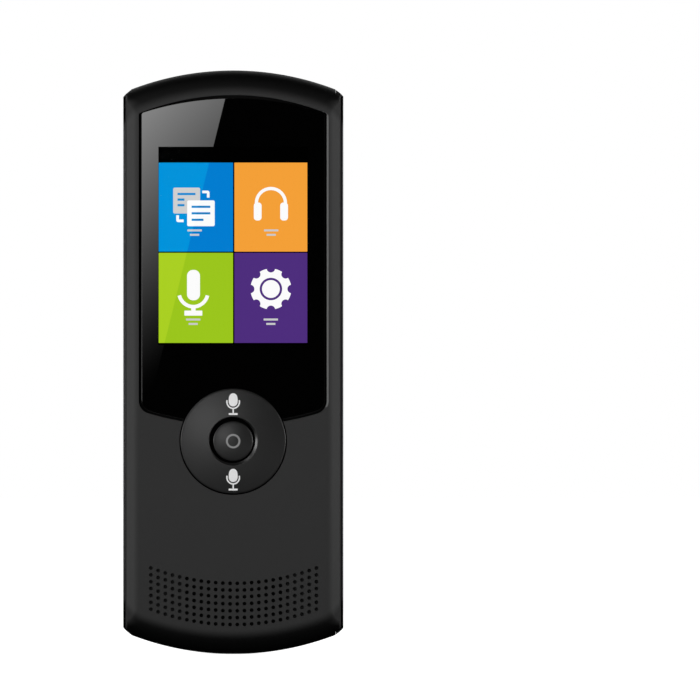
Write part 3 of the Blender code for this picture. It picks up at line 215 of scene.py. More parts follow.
def tidy(mesh):
    sheet = bmesh.new()
    sheet.from_mesh(mesh)
    bmesh.ops.remove_doubles(sheet, verts=sheet.verts, dist=0.0002 * mm)
    bmesh.ops.dissolve_degenerate(sheet, edges=sheet.edges, dist=0.0002 * mm)
    bmesh.ops.recalc_face_normals(sheet, faces=sheet.faces)
    sheet.to_mesh(mesh)
    sheet.free()


def carve(piece, shape, operation="DIFFERENCE"):
    tool = raw("tool", shape)
    step = piece.modifiers.new("carve", "BOOLEAN")
    step.operation, step.solver, step.object = operation, "EXACT", tool
    bpy.context.view_layer.update()
    mesh = bpy.data.meshes.new_from_object(piece.evaluated_get(bpy.context.evaluated_depsgraph_get()))
    piece.modifiers.clear()
    piece.data = mesh
    bpy.data.objects.remove(tool, do_unlink=True)
    tidy(mesh)
    return piece


def faceFacts(piece, fact):
    # the named vector of every face, row by row
    values = np.zeros(len(piece.data.polygons) * 3)
    piece.data.polygons.foreach_get(fact, values)
    return values.reshape(-1, 3)


def dress(piece, finishes, rides="case", standsFor=(), crease=30):
    # material, smoothing, the body it rides on and the CAD nodes it stands for
    piece.data.materials.clear()
    for finish in finishes if isinstance(finishes, (list, tuple)) else [finishes]:
        piece.data.materials.append(finish)
    piece.data.shade_smooth()
    piece.data.set_sharp_from_angle(angle=math.radians(crease))
    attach(piece, rides)
    if standsFor:
        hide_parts(*standsFor)
    return piece


def linear(hexCode):
    # an sRGB hex colour as the linear values that the shaders take
    s = np.array([int(hexCode[i:i + 2], 16) / 255 for i in (1, 3, 5)])
    return (*np.where(s <= 0.04045, s / 12.92, ((s + 0.055) / 1.055) ** 2.4).tolist(), 1.0)


def plug(tree, node, sockets):
    # a value or a link for each named socket of a node; another node stands for its first output
    for key, value in sockets.items():
        if isinstance(value, bpy.types.Node):
            value = value.outputs[0]
        if isinstance(value, bpy.types.NodeSocket):
            tree.links.new(value, node.inputs[key])
        else:
            node.inputs[key].default_value = value


def addNode(tree, kind, sockets=None, **settings):
    # one node with its settings and what is plugged into it
    node = tree.nodes.new("ShaderNode" + kind)
    for key, value in settings.items():
        setattr(node, key, value)
    plug(tree, node, sockets or {})
    return node


def newMaterial(name, **plain):
    # a Principled material with its plain values set, its tree, its shader and Object coordinates
    material = bpy.data.materials.new(name)
    material.use_nodes = True
    tree = material.node_tree
    shader = tree.nodes["Principled BSDF"]
    for key, value in plain.items():
        shader.inputs[key.replace("_", " ")].default_value = value
    place = addNode(tree, "TexCoord").outputs["Object"]
    return material, tree, shader, place


def bareMaterial(name):
    # a material without the Principled shader, with its tree, its output and Object coordinates
    material, tree, shader, place = newMaterial(name)
    tree.nodes.remove(shader)
    return material, tree, tree.nodes["Material Output"], place


def paintedEndShade(tree, place):
    # painted shade on the rolled ends: 0 on the body and 1 on its rolled ends, by the distance from the centres
    # of the two end arcs, which counts 0.1 (|x| - 22)^2 mm more near the sides, where the painted shade reaches
    # further down
    fade = {"start": 65.7, "end": 68.3, "sideStart": 22.0, "sideGain": 0.1}
    offset = body["halfLength"] - body["endRadius"]
    split = addNode(tree, "SeparateXYZ", {0: place})
    height = addNode(tree, "Math", {0: split.outputs[2], 1: middle[2] * mm}, operation="SUBTRACT")
    away = addNode(tree, "Math", {0: height}, operation="ABSOLUTE")
    lift = addNode(tree, "Math", {0: away, 1: offset * mm}, operation="SUBTRACT")
    arm = addNode(tree, "CombineXYZ", {0: split, 1: lift})
    reach = addNode(tree, "VectorMath", {0: arm}, operation="LENGTH")
    aside = addNode(tree, "Math", {0: split}, operation="ABSOLUTE")
    past = addNode(tree, "Math", {0: aside, 1: fade["sideStart"] * mm}, operation="SUBTRACT")
    past = addNode(tree, "Math", {0: past, 1: 0.0}, operation="MAXIMUM")
    square = addNode(tree, "Math", {0: past, 1: past}, operation="MULTIPLY")
    total = addNode(tree, "Math", {0: square, 1: fade["sideGain"] / mm, 2: reach.outputs[1]},
                    operation="MULTIPLY_ADD")
    return addNode(tree, "MapRange", {"Value": total, "From Min": (fade["start"] - offset) * mm,
                                      "From Max": (fade["end"] - offset) * mm},
                   interpolation_type="SMOOTHSTEP").outputs[0]


def mottled(name, colours, grain, roughness, bump=0.0, stretch=None, end=None, **plain):
    # moulded, cast, foamed or drawn stuff: two near shades, a varying roughness and a grain of real size in mm,
    # stretched where stretch is given, and with painted shade on the body's rolled ends where end is given
    material, tree, shader, place = newMaterial(name, **plain)
    spot = addNode(tree, "Mapping", {"Vector": place, "Scale": stretch}) if stretch else place
    noise = addNode(tree, "TexNoise", {"Vector": spot, "Scale": 1 / (grain * mm), "Detail": 3.0})
    shade = addNode(tree, "Mix", {0: noise, 6: linear(colours[0]), 7: linear(colours[1])}, data_type="RGBA")
    # painted shade: the end colour darkens the rolled ends
    if end:
        shade = addNode(tree, "Mix", {0: paintedEndShade(tree, place), 6: shade.outputs[2], 7: linear(end)},
                        data_type="RGBA")
    rough = addNode(tree, "MapRange", {"Value": noise, "To Min": roughness[0], "To Max": roughness[1]})
    plug(tree, shader, {"Base Color": shade.outputs[2], "Roughness": rough})
    if bump:
        relief = addNode(tree, "Bump", {"Height": noise, "Strength": 0.4, "Distance": bump * mm})
        plug(tree, shader, {"Normal": relief})
    return material


def charcoalAbs():
    # spark-eroded ABS: matt charcoal with a fine grain that breaks up the highlight, with painted shade on its
    # rolled ends
    look = {"face": "#2b2b2b", "end": "#010101", "grain": 0.35, "roughness": (0.46, 0.58)}
    material, tree, shader, place = newMaterial("charcoalAbs", Specular_IOR_Level=0.24)
    noise = addNode(tree, "TexNoise", {"Vector": place, "Scale": 1 / (look["grain"] * mm), "Detail": 2.0})
    rough = addNode(tree, "MapRange", {"Value": noise.outputs["Fac"], "To Min": look["roughness"][0],
                                       "To Max": look["roughness"][1]})
    # painted shade: the near-black end colour darkens the rolled ends
    shade = addNode(tree, "Mix", {0: paintedEndShade(tree, place), 6: linear(look["face"]), 7: linear(look["end"])},
                    data_type="RGBA")
    relief = addNode(tree, "Bump", {"Height": noise.outputs["Fac"], "Strength": 0.25, "Distance": 0.02 * mm})
    plug(tree, shader, {"Base Color": shade.outputs[2], "Roughness": rough,
                        "Normal": relief})
    return material


def pianoBlackAbs():
    # polished black ABS: a deep black that mirrors the room, with the faint unevenness of a moulded wall
    material, tree, shader, place = newMaterial("pianoBlackAbs", Base_Color=linear("#090909"))
    haze = addNode(tree, "TexNoise", {"Vector": place, "Scale": 1 / (9 * mm), "Detail": 2.0})
    rough = addNode(tree, "MapRange", {"Value": haze.outputs["Fac"], "To Min": 0.1, "To Max": 0.17})
    wave = addNode(tree, "Bump", {"Height": haze.outputs["Fac"], "Strength": 0.05, "Distance": 0.05 * mm})
    plug(tree, shader, {"Roughness": rough, "Normal": wave})
    return material


def printedGlass():
    # toughened glass printed black from behind: no colour of its own, only a sharp reflection
    material, tree, shader, place = newMaterial("printedGlass", Base_Color=linear("#020202"))
    haze = addNode(tree, "TexNoise", {"Vector": place, "Scale": 1 / (6 * mm), "Detail": 1.0})
    rough = addNode(tree, "MapRange", {"Value": haze.outputs["Fac"], "To Min": 0.0, "To Max": 0.01})
    plug(tree, shader, {"Roughness": rough})
    return material


def clearWindow():
    # the unprinted part of the glass, with a coating that takes nearly all of its reflection away
    material, tree, output, place = bareMaterial("clearWindow")
    through = addNode(tree, "BsdfTransparent", {"Color": (0.97, 0.97, 0.97, 1)})
    haze = addNode(tree, "TexNoise", {"Vector": place, "Scale": 1 / (6 * mm)})
    rough = addNode(tree, "MapRange", {"Value": haze.outputs["Fac"], "To Min": 0.02, "To Max": 0.04})
    shine = addNode(tree, "BsdfGlossy", {"Roughness": rough})
    edge = addNode(tree, "Fresnel", {"IOR": 1.03})
    mixed = addNode(tree, "MixShader", {0: edge, 1: through, 2: shine})
    plug(tree, output, {"Surface": mixed})
    return material


def screenColour(name, lit, plain):
    # lit display: a colour with a painted reflection, its lit tone on the upper left of a slanted line, under a
    # faint pixel grid
    paintedReflectionEdge = {"x": -2.03, "z": 64.8, "lean": 0.2475, "blur": 0.1}
    dot, glowing = 0.306, 1.07
    material, tree, shader, place = newMaterial(name, Base_Color=linear("#050505"), Roughness=0.4,
                                                Specular_IOR_Level=0.0, Emission_Strength=glowing)
    split = addNode(tree, "SeparateXYZ", {0: place})
    line = addNode(tree, "Math", {0: split.outputs[2], 1: -paintedReflectionEdge["lean"],
                                  2: -(paintedReflectionEdge["x"] - paintedReflectionEdge["lean"] * (paintedReflectionEdge["z"] + middle[2])) * mm},
                   operation="MULTIPLY_ADD")
    across = addNode(tree, "Math", {0: split, 1: line}, operation="ADD")
    side = addNode(tree, "MapRange", {"Value": across, "From Min": -paintedReflectionEdge["blur"] * mm,
                                      "From Max": paintedReflectionEdge["blur"] * mm})
    shade = addNode(tree, "Mix", {0: side, 6: linear(lit), 7: linear(plain)}, data_type="RGBA")
    grid = addNode(tree, "TexWave", {"Vector": place, "Scale": 1 / (dot * mm) / 3.14}, bands_direction="X")
    fine = addNode(tree, "MapRange", {"Value": grid.outputs["Fac"], "To Min": 0.98, "To Max": 1.02})
    glow = addNode(tree, "VectorMath", {0: shade.outputs[2], "Scale": fine}, operation="SCALE")
    plug(tree, shader, {"Emission Color": glow})
    return material


charcoal = charcoalAbs()
pianoBlack = pianoBlackAbs()
glassBlack = printedGlass()
glassClear = clearWindow()
# satin keys, a touch smoother than the housing so that they catch the window light
keyBlack = mottled("satinKeyAbs", ("#131313", "#171717"), 0.4, (0.27, 0.32), bump=0.01)
# the same keys inside their gaps: dull as eroded in the tool, and darker as painted shade, so that the gaps
# look black
paintedGapShade = mottled("dullKeyPaintedShade", ("#060606", "#0a0a0a"), 0.4, (0.9, 1.0), Specular_IOR_Level=0.1)
# the same plastic painted lighter where the edge of the screen opening is cut, a painted highlight that draws a
# light line
paintedHighlightEdge = mottled("paintedHighlightEdgeAbs", ("#464646", "#4c4c4c"), 0.5, (0.42, 0.5), Specular_IOR_Level=0.4)
# the same plastic on the steep lip over the rails, left dull from the tool and darkened with painted shade, so
# that no bright line runs there
paintedLipShade = mottled("paintedShadeLipAbs", ("#1e1e1e", "#242424"), 0.4, (0.8, 0.9), Specular_IOR_Level=0.05)
# anodised aluminium drawn through a die: fine lines along the strip, each a little lighter or darker, with
# painted shade on its rolled ends
railMetal = mottled("drawnAluminium", ("#29292a", "#313132"), 0.25, (0.24, 0.32), bump=0.01,
                    stretch=(1, 1, 0.02), end="#030303", Metallic=1.0)
print("materials ready")


def endRoll(depth):
    # how far the rolled end stands in: the quarter ellipse w (1 - sqrt(1 - (1 - d/D)^2))
    left = np.clip(1 - np.asarray(depth, float) / housing["rollDepth"], 0, 1)
    return housing["rollWidth"] * (1 - np.sqrt(1 - left ** 2))


housing = {"lip": 26.5, "chamfer": 2.7, "chamferRest": 0.3, "chamferDepth": 1.11, "lipDepth": 2.35,
           "rollWidth": 5.8, "rollDepth": 4.75, "faceCorner": 3.0, "lipCorner": 1.0, "sideCorner": 0.3,
           "faceFillet": 0.85, "lipFillet": 0.05, "edgeWidth": 0.26, "edgeDepth": 0.245, "edgeShift": 0.245,
           "inner": -4.6, "cavityHalf": 23.7, "endWall": 2.0, "sideTop": 3.05, "endTop": -2.35,
           "returnZ": 63.65}
lens = {"half": 22.52, "top": 64.9, "bottom": 15.02, "topRadius": 72.7, "bottomRadius": 71.82,
        "topCorner": 0.6, "bottomCorner": 2.62, "front": -7.10, "back": -6.10, "gap": 0.6,
        "edge": 0.06, "window": 18.4, "windowTop": 53.0, "windowLow": 4.24}
recess = {"topGap": 0.8, "topRadius": 61.7, "shift": -0.1, "floor": -5.6, "panelHalf": 21.16,
          "panelTop": 55.5, "panelLow": -2.66}
ring = {"z": -19.4, "radius": 12.98, "well": 13.24, "hole": 5.97, "bore": 5.6, "boreShift": 0.24,
        "top": -7.95, "crown": 0.0041, "under": -6.05, "flange": 14.17, "flangeY": -3.95, "pivotY": -3.35}
grille = {"columns": 24, "rows": 7, "x": 0.12, "half": 20.35, "pitch": 1.69, "low": -64.52, "arc": 56.7,
          "hole": 0.475, "inner": -6.05, "pocket": 12.7, "margin": 1.2}
screws = {"caseX": 16.0, "caseZ": 60.0, "caseTop": 2.1, "boardX": 19.0, "boardZ": -46.35, "boardTop": -2.45,
          "boss": 2.2, "hole": 0.9}


def caseScrewSpots():
    return [(sx * screws["caseX"], sz * screws["caseZ"]) for sx in (-1, 1) for sz in (-1, 1)]


def grilleSpots():
    # rows that rise outwards: z = low + row * pitch + R - sqrt(R^2 - x^2)
    column, row = np.meshgrid(np.arange(grille["columns"]), np.arange(grille["rows"]))
    x = grille["half"] * (2 * column / (grille["columns"] - 1) - 1)
    z = grille["low"] + row * grille["pitch"] + grille["arc"] - np.sqrt(grille["arc"] ** 2 - x ** 2)
    return np.stack([x + grille["x"], z, np.full(x.shape, grille["hole"])], -1).reshape(-1, 3)


def recessSlices(y, inside=0.0):
    # the outline of the screen opening at the depths y, or a loop that stays a little inside it
    grow = lens["gap"] - inside
    rows = slices(y, (lens["half"] + grow, lens["top"] + recess["topGap"] - inside, recess["topRadius"],
                      lens["topCorner"]),
                  (lens["half"] + grow, lens["bottom"] + grow, lens["bottomRadius"] + grow,
                   lens["bottomCorner"] + grow))
    rows[..., 0] += recess["shift"]
    return rows


def frontHousing():
    edge = softened([(4.2, 0), (housing["chamfer"], 0), (housing["chamferRest"], housing["chamferDepth"]),
                     (0, housing["lipDepth"])], [0, housing["faceFillet"], housing["lipFillet"], 0], 8)[1:]
    roll = housing["rollDepth"] * (1 - np.cos(np.linspace(0, np.pi / 2, 30)))
    depth = np.unique(np.concatenate([edge[:, 1], roll[roll < housing["lipDepth"]]]))
    inset = np.interp(depth, edge[:, 1], edge[:, 0])
    cornerGain = (housing["faceCorner"] - housing["lipCorner"]) / housing["chamfer"]
    corner = housing["lipCorner"] + cornerGain * inset
    face = bodySlices([body["front"]], housing["lip"] - inset[0] - 0.5, housing["rollWidth"] + 0.4, 2.8)
    upper = bodySlices(body["front"] + depth, housing["lip"] - inset, endRoll(depth), corner)
    wall = np.concatenate([[housing["lipDepth"]], roll[roll > housing["lipDepth"]],
                           [housing["sideTop"] - body["front"]]])
    lower = bodySlices(body["front"] + wall, body["shell"], endRoll(wall), housing["sideCorner"])
    piece = raw("frontHousing", loft(np.concatenate([face, upper, lower])))
    cavity = bodySlices([housing["inner"], 9.0], housing["cavityHalf"], housing["endWall"], 1.0)
    carve(piece, loft(cavity))
    for side in (-1, 1):
        carve(piece, block((-35, 35), (housing["endTop"], 9), sorted((side * housing["returnZ"], side * 80))))
    places = [(x, z, screws["caseTop"]) for x, z in caseScrewSpots()]
    places += [(sx * screws["boardX"], screws["boardZ"], screws["boardTop"]) for sx in (-1, 1)]
    bosses = [rod(screws["boss"], -4.9, top, x, z, 32) for x, z, top in places]
    carve(piece, together(bosses), "UNION")
    carve(piece, drills([(x, z, screws["hole"]) for x, z, _ in places], housing["inner"], 9, 16))
    carve(piece, loft(recessSlices([body["front"] - 2, recess["floor"]])))
    # a cut edge round the opening, widest on the right: its outline grows with the height above the wall
    rise = np.array([0.0, 2.0])
    wide, tall = lens["gap"] + rise * housing["edgeWidth"], lens["gap"] + rise * 0.03
    edgeRows = slices(body["front"] + housing["edgeDepth"] * (1 - rise),
                      (lens["half"] + wide, lens["top"] + recess["topGap"] - lens["gap"] + tall,
                       recess["topRadius"] + tall - lens["gap"], lens["topCorner"] + tall),
                      (lens["half"] + wide, lens["bottom"] + tall, lens["bottomRadius"] + tall,
                       lens["bottomCorner"] + tall))
    edgeRows[..., 0] += (recess["shift"] + rise * housing["edgeShift"])[:, None]
    carve(piece, loft(edgeRows))
    carve(piece, block((-recess["panelHalf"], recess["panelHalf"]), (-7, -4),
                       (recess["panelLow"], recess["panelTop"])))
    carve(piece, rod(ring["well"], -9, -4.3, 0, ring["z"]))
    across = np.linspace(-1, 1, 25) * grille["pocket"]
    rise = grille["arc"] - np.sqrt(grille["arc"] ** 2 - across ** 2)
    low = np.stack([across, grille["low"] - grille["margin"] + rise], -1)
    high = np.stack([across, grille["low"] + 6 * grille["pitch"] + grille["margin"] + rise], -1)[::-1]
    carve(piece, prism(np.concatenate([low, high]), grille["inner"], -4.3))
    carve(piece, drills(grilleSpots(), -9, grille["inner"] + 0.3, 20))
    dress(piece, [charcoal, paintedHighlightEdge, paintedLipShade], standsFor=["front_housing"],
          crease=28)
    # faces of the cut edge look into the opening and lie just under the front and take the painted highlight;
    # those of the lip look sideways and take the painted shade
    spot, way = faceFacts(piece, "center") / mm - middle, faceFacts(piece, "normal")
    inward = np.maximum(-way[:, 0] * np.sign(spot[:, 0]), -way[:, 2] * np.sign(spot[:, 2] - 20))
    highlightFaces = ((inward > 0.25) & (way[:, 1] < -0.3) & (spot[:, 1] < body["front"] + housing["edgeDepth"])
           & (spot[:, 2] > -10.9) & (spot[:, 2] < 66.6) & (np.abs(spot[:, 0]) < 23.8))
    # the lip's faces take the painted shade
    lip = ((np.abs(way[:, 0]) > 0.8) & (np.abs(spot[:, 0]) > 26.1)
           & (spot[:, 1] > body["front"] + 1.0) & (spot[:, 1] < body["front"] + 2.4))
    piece.data.polygons.foreach_set("material_index", np.select([highlightFaces, lip], [1, 2], 0))
    return piece


frontHousing()
print("front housing ready")


rear = {"wall": 1.5, "sideInset": 12.2, "endInset": 13.85, "crown": 3.2, "rimWidth": 2.0, "rimDepth": 1.5,
        "flatCorner": 10.0, "corner": 0.4, "bottom": -2.33, "sideBottom": 3.35, "seamApex": 60.0,
        "seamRadius": 78.0}
speaker = {"z": 42.1, "radius": 13.9, "hole": 0.48, "spacing": 0.82, "inner": 5.9, "outer": 12.4, "peak": 9.0,
           "fall": 7.5, "badge": 4.5, "badgeTop": 7.15, "badgeBack": 6.55}
socketMouth = {"x": (-4.15, 4.15), "y": (-1.65, 1.75), "z": (-80, -66)}


def rearSlices(wall, bottom):
    # crown y = rear - c s^2 between the flat middle (s = 0) and the edge (s = 1), then a quarter-ellipse rim
    s = np.linspace(0, 1, 30)
    rest = 1 - s
    crown = bodySlices(body["rear"] - wall - rear["crown"] * s ** 2,
                       body["shell"] - wall - rear["sideInset"] * rest,
                       wall + rear["rimWidth"] + rear["endInset"] * rest,
                       rear["corner"] + (rear["flatCorner"] - rear["corner"]) * np.sqrt(rest))
    turn = np.linspace(0, np.pi / 2, 16)[1:]
    rim = bodySlices(body["rear"] - wall - rear["crown"] - rear["rimDepth"] * (1 - np.cos(turn)),
                     body["shell"] - wall, wall + rear["rimWidth"] * (1 - np.sin(turn)), rear["corner"])
    low = bodySlices([bottom], body["shell"] - wall, wall, rear["corner"])
    return np.concatenate([crown, rim, low])


def rearShell(name):
    piece = raw(name, loft(rearSlices(0.0, rear["bottom"])))
    carve(piece, loft(rearSlices(rear["wall"], rear["bottom"] - 3)))
    for side in (-1, 1):
        carve(piece, block(sorted((side * 23.4, side * 31)), (-6, rear["sideBottom"]), (-63.95, 63.95)))
    return piece


def seamBlock(margin):
    # what lies between the two curved seams
    return loft(slices([-15, 15], (29.2, rear["seamApex"] + margin, rear["seamRadius"] + margin, 1.0)))


def speakerSpots():
    # sunflower spiral: distance grows with the square root of the count, each turned on by the golden angle
    count = np.arange(math.ceil((speaker["inner"] / speaker["spacing"]) ** 2),
                      math.floor((speaker["outer"] / speaker["spacing"]) ** 2) + 1)
    away = speaker["spacing"] * np.sqrt(count)
    angle = count * math.pi * (3 - math.sqrt(5))
    size = speaker["hole"] * (1 - ((away - speaker["peak"]) / speaker["fall"]) ** 2)
    return np.stack([away * np.cos(angle), speaker["z"] + away * np.sin(angle), size], -1)


def backPanel():
    piece = carve(rearShell("backPanel"), seamBlock(-body["seam"] / 2), "INTERSECT")
    # each screw tab is a plate under the screw and a foot up to the panel
    for x, z in caseScrewSpots():
        out = math.copysign(1, z)
        for depth, reach in (((2.2, 3.2), 2.8), ((2.2, 6.05), -5.5)):
            carve(piece, block((x - 3, x + 3), depth, sorted((z - out * 9.5, z + out * reach))), "UNION")
    carve(piece, drills([(x, z, screws["hole"]) for x, z in caseScrewSpots()], 0, 3.5, 16))
    seat = speaker["badge"] + 0.2
    carve(piece, rod(seat, 6.45, 9, 0, speaker["z"], 96))
    carve(piece, drills(speakerSpots(), 4.5, 9, 14))
    return dress(piece, pianoBlack, standsFor=["back_cover"], crease=28)


def endPiece(name, side, node):
    piece = carve(rearShell(name), seamBlock(body["seam"] / 2))
    carve(piece, block((-35, 35), (-15, 15), sorted((0, -side * 80))))
    if side < 0:
        carve(piece, block(socketMouth["x"], socketMouth["y"], socketMouth["z"]))
    return dress(piece, pianoBlack, standsFor=[node], crease=28)


backPanel()
endPiece("topEndPiece", 1, "top_end_cap")
endPiece("bottomEndPiece", -1, "bottom_end_cap")
print("rear panel and end pieces ready")


def sideRail(name, side, node):
    rail = {"outer": body["halfWidth"], "inner": 25.5, "close": 25.25, "front": -4.6, "bead": 3.1,
            "radius": 0.8, "cornerX": 24.7, "corner": 3.7, "round": 0.4}
    turn = np.linspace(0, np.pi, 25)
    bead = np.stack([(rail["outer"] + rail["inner"]) / 2 + rail["radius"] * np.cos(turn),
                     rail["bead"] + rail["radius"] * np.sin(turn)], -1)
    flank = softened([(rail["close"], rail["front"]), (rail["outer"], rail["front"]),
                      (rail["outer"], rail["bead"])], rail["round"])[:-1]
    profile = np.concatenate([flank, bead, [(rail["inner"], 1.6), (rail["close"], 1.0)]])
    # each point of the profile runs between the body's two end arcs
    reach = body["endRadius"] - endRoll(profile[:, 1] - body["front"])
    far = body["halfLength"] - body["endRadius"] + np.sqrt(reach ** 2 - profile[:, 0] ** 2)
    far -= rail["corner"] - np.sqrt(rail["corner"] ** 2 - np.maximum(profile[:, 0] - rail["cornerX"], 0) ** 2)
    share = np.sin(np.linspace(-1, 1, 31) * np.pi / 2)[:, None]
    rows = np.stack(np.broadcast_arrays(side * profile[:, 0], profile[:, 1], share * far), -1)
    piece = raw(name, loft(rows))
    return dress(piece, railMetal, standsFor=[node])


sideRail("leftRail", -1, "left_side_rail")
sideRail("rightRail", 1, "right_side_rail")
print("rails ready")


def coverGlass():
    inset, y = softened([(lens["edge"] + 0.02, lens["front"]), (0, lens["front"]), (0, lens["back"])],
                        lens["edge"]).T
    rows = slices(y, (lens["half"] - inset, lens["top"] - inset, lens["topRadius"] - inset,
                      np.maximum(lens["topCorner"] - inset, 0.2)),
                  (lens["half"] - inset, lens["bottom"] - inset, lens["bottomRadius"] - inset,
                   lens["bottomCorner"] - inset))
    piece = raw("coverGlass", loft(rows))
    carve(piece, rod(ring["well"], -9, -5, 0, ring["z"]))
    sheet = bmesh.new()
    sheet.from_mesh(piece.data)
    for point, normal in (((lens["window"], 0, 0), (1, 0, 0)), ((-lens["window"], 0, 0), (1, 0, 0)),
                          ((0, 0, lens["windowTop"]), (0, 0, 1)), ((0, 0, lens["windowLow"]), (0, 0, 1))):
        bmesh.ops.bisect_plane(sheet, geom=sheet.verts[:] + sheet.edges[:] + sheet.faces[:],
                               plane_co=((np.array(point) + middle) * mm).tolist(), plane_no=normal)
    for face in sheet.faces:
        x, _, z = np.array(face.calc_center_median()) / mm - middle
        inside = abs(x) < lens["window"] and lens["windowLow"] < z < lens["windowTop"]
        # the glass's edge faces take the third material, the painted gap shade
        face.material_index = int(inside) if abs(face.normal.y) > 0.95 else 2
    sheet.to_mesh(piece.data)
    sheet.free()
    marks = np.zeros(len(piece.data.polygons), int)
    piece.data.polygons.foreach_get("material_index", marks)
    dress(piece, [glassBlack, glassClear, paintedGapShade], standsFor=["cover_lens"])
    piece.data.polygons.foreach_set("material_index", marks)
    return piece


coverGlass()
print("cover glass ready")


def glassGasket():
    # black foam under the glass, out to the wall of the recess, so that the gap round the glass is dark
    rows = recessSlices([lens["back"] + 0.08, recess["floor"] - 0.02], 0.03)
    piece = raw("glassGasket", loft(rows))
    carve(piece, block((-21.2, 21.2), (-8, -4), (recess["panelLow"] - 0.05, recess["panelTop"] + 0.05)))
    carve(piece, rod(13.5, -9, -4, 0, ring["z"]))
    foam = mottled("closedCellFoam", ("#080808", "#0e0e0e"), 0.3, (0.9, 1.0), bump=0.05,
                   Specular_IOR_Level=0.1)
    return dress(piece, foam, standsFor=["lens_gasket"])


glassGasket()


pixel = view["pixel"]


def fromFrame(x, y, depth=-5.95):
    # a spot of the photograph's frame on the plane at this depth: (x - middle) * pixel * (1 + depth / away)
    k = pixel * (1 + depth / view["away"])
    return view["right"] + (x - 350) * k, view["up"] - (y - 350) * k


def screenDepth(level):
    return lambda x, z: np.full(np.shape(x), -5.88 - 0.03 * level)


def screenPlate(x, y, radius, level):
    x0, z1 = fromFrame(x[0], y[0])
    x1, z0 = fromFrame(x[1], y[1])
    return plate((x0, x1), (z0, z1), radius * pixel, screenDepth(level), 0.02, 0.0)


def screenLine(corners, stroke, level, reach=0.0):
    points = np.array([fromFrame(*c) for c in corners])
    path = softened(points, reach * pixel, 8) if reach else points
    if not reach:
        path = np.concatenate([np.linspace(a, b, 6)[:-1] for a, b in zip(points, points[1:])] + [points[-1:]])
    return band(path, stroke * pixel / 2, screenDepth(level), 0.02, 0.0, 3)


def screenPiece(name, parts, finish):
    return dress(raw(name, together(parts)), finish)


# each tile's lit tone is its colour with a painted reflection on it; plain is its colour alone
tiles = {
    "tileBlue": {"x": (158.7, 233.0), "y": (162.6, 251.6), "lit": "#0092da", "plain": "#007ccf"},
    "tileOrange": {"x": (234.4, 307.3), "y": (162.6, 251.6), "lit": "#f5a03a", "plain": "#f39f37"},
    "tileGreen": {"x": (158.7, 233.0), "y": (252.8, 342.9), "lit": "#a9cf22", "plain": "#9ac51c"},
    "tilePurple": {"x": (234.4, 307.3), "y": (252.8, 342.9), "lit": "#4f2f7e", "plain": "#4d2d7c"},
}
for name, tile in tiles.items():
    tileFinish = screenColour(name + "Light", tile["lit"], tile["plain"])
    screenPiece(name, [screenPlate(tile["x"], tile["y"], 0.4, 0)], tileFinish)

whiteLight = screenColour("whiteLight", "#ffffff", "#fbfbfb")
greyLight = screenColour("greyLight", "#cfcfcf", "#c9c9c9")
blueLight = screenColour("blueLight", "#0a8ad2", "#0a80c8")


def talkIcon():
    # two overlapping cards with plain text lines and two turning corners
    backLines = [screenLine([(177.5, y), (to, y)], 2.2, 2)
                 for y, to in ((194.0, 195.5), (199.6, 184.5), (205.2, 184.5))]
    frontLines = [screenLine([(191.6, y), (to, y)], 2.2, 4)
                  for y, to in ((206.8, 210.3), (213.3, 210.3), (219.8, 203.5))]
    turns = [screenLine([(202.3, 191.9), (208.2, 191.9), (208.2, 197.6)], 2.6, 1, 0.8),
             screenLine([(177.6, 215.2), (177.6, 220.8), (183.6, 220.8)], 2.6, 1, 0.8)]
    screenPiece("talkCardBack", [screenPlate((173.2, 200.1), (187.6, 213.5), 1.6, 1)], greyLight)
    screenPiece("talkCardBackLines", backLines, blueLight)
    screenPiece("talkCardFront", [screenPlate((187.2, 214.7), (200.4, 226.2), 1.6, 3)], whiteLight)
    screenPiece("talkCardFrontLines", frontLines, blueLight)
    screenPiece("talkCorners", turns, whiteLight)


def headsetIcon():
    # a headband arc over two ear cups
    turn = np.radians(np.linspace(200, -20, 40))
    arc = [(270.9 + 14.5 * math.cos(a), 203.0 - 14.5 * math.sin(a)) for a in turn]
    parts = [screenLine(arc, 3.2, 1)]
    parts += [screenPlate((270.9 + x - 3.9, 270.9 + x + 3.9), (202.5, 220.5), 3.2, 1) for x in (-13.2, 13.2)]
    screenPiece("headsetIcon", parts, whiteLight)


def micIcon():
    turn = np.radians(np.linspace(195, 345, 33))
    cradle = [(193.4 + 14.6 * math.cos(a), 291.5 - 15.2 * math.sin(a)) for a in turn]
    parts = [screenPlate((187.0, 200.0), (269.9, 300.3), 6.0, 1), screenLine(cradle, 3.6, 1),
             screenLine([(193.4, 305.5), (193.4, 312.0)], 4.4, 1),
             screenPlate((184.4, 202.3), (310.6, 315.6), 0.5, 1)]
    screenPiece("micIcon", parts, whiteLight)


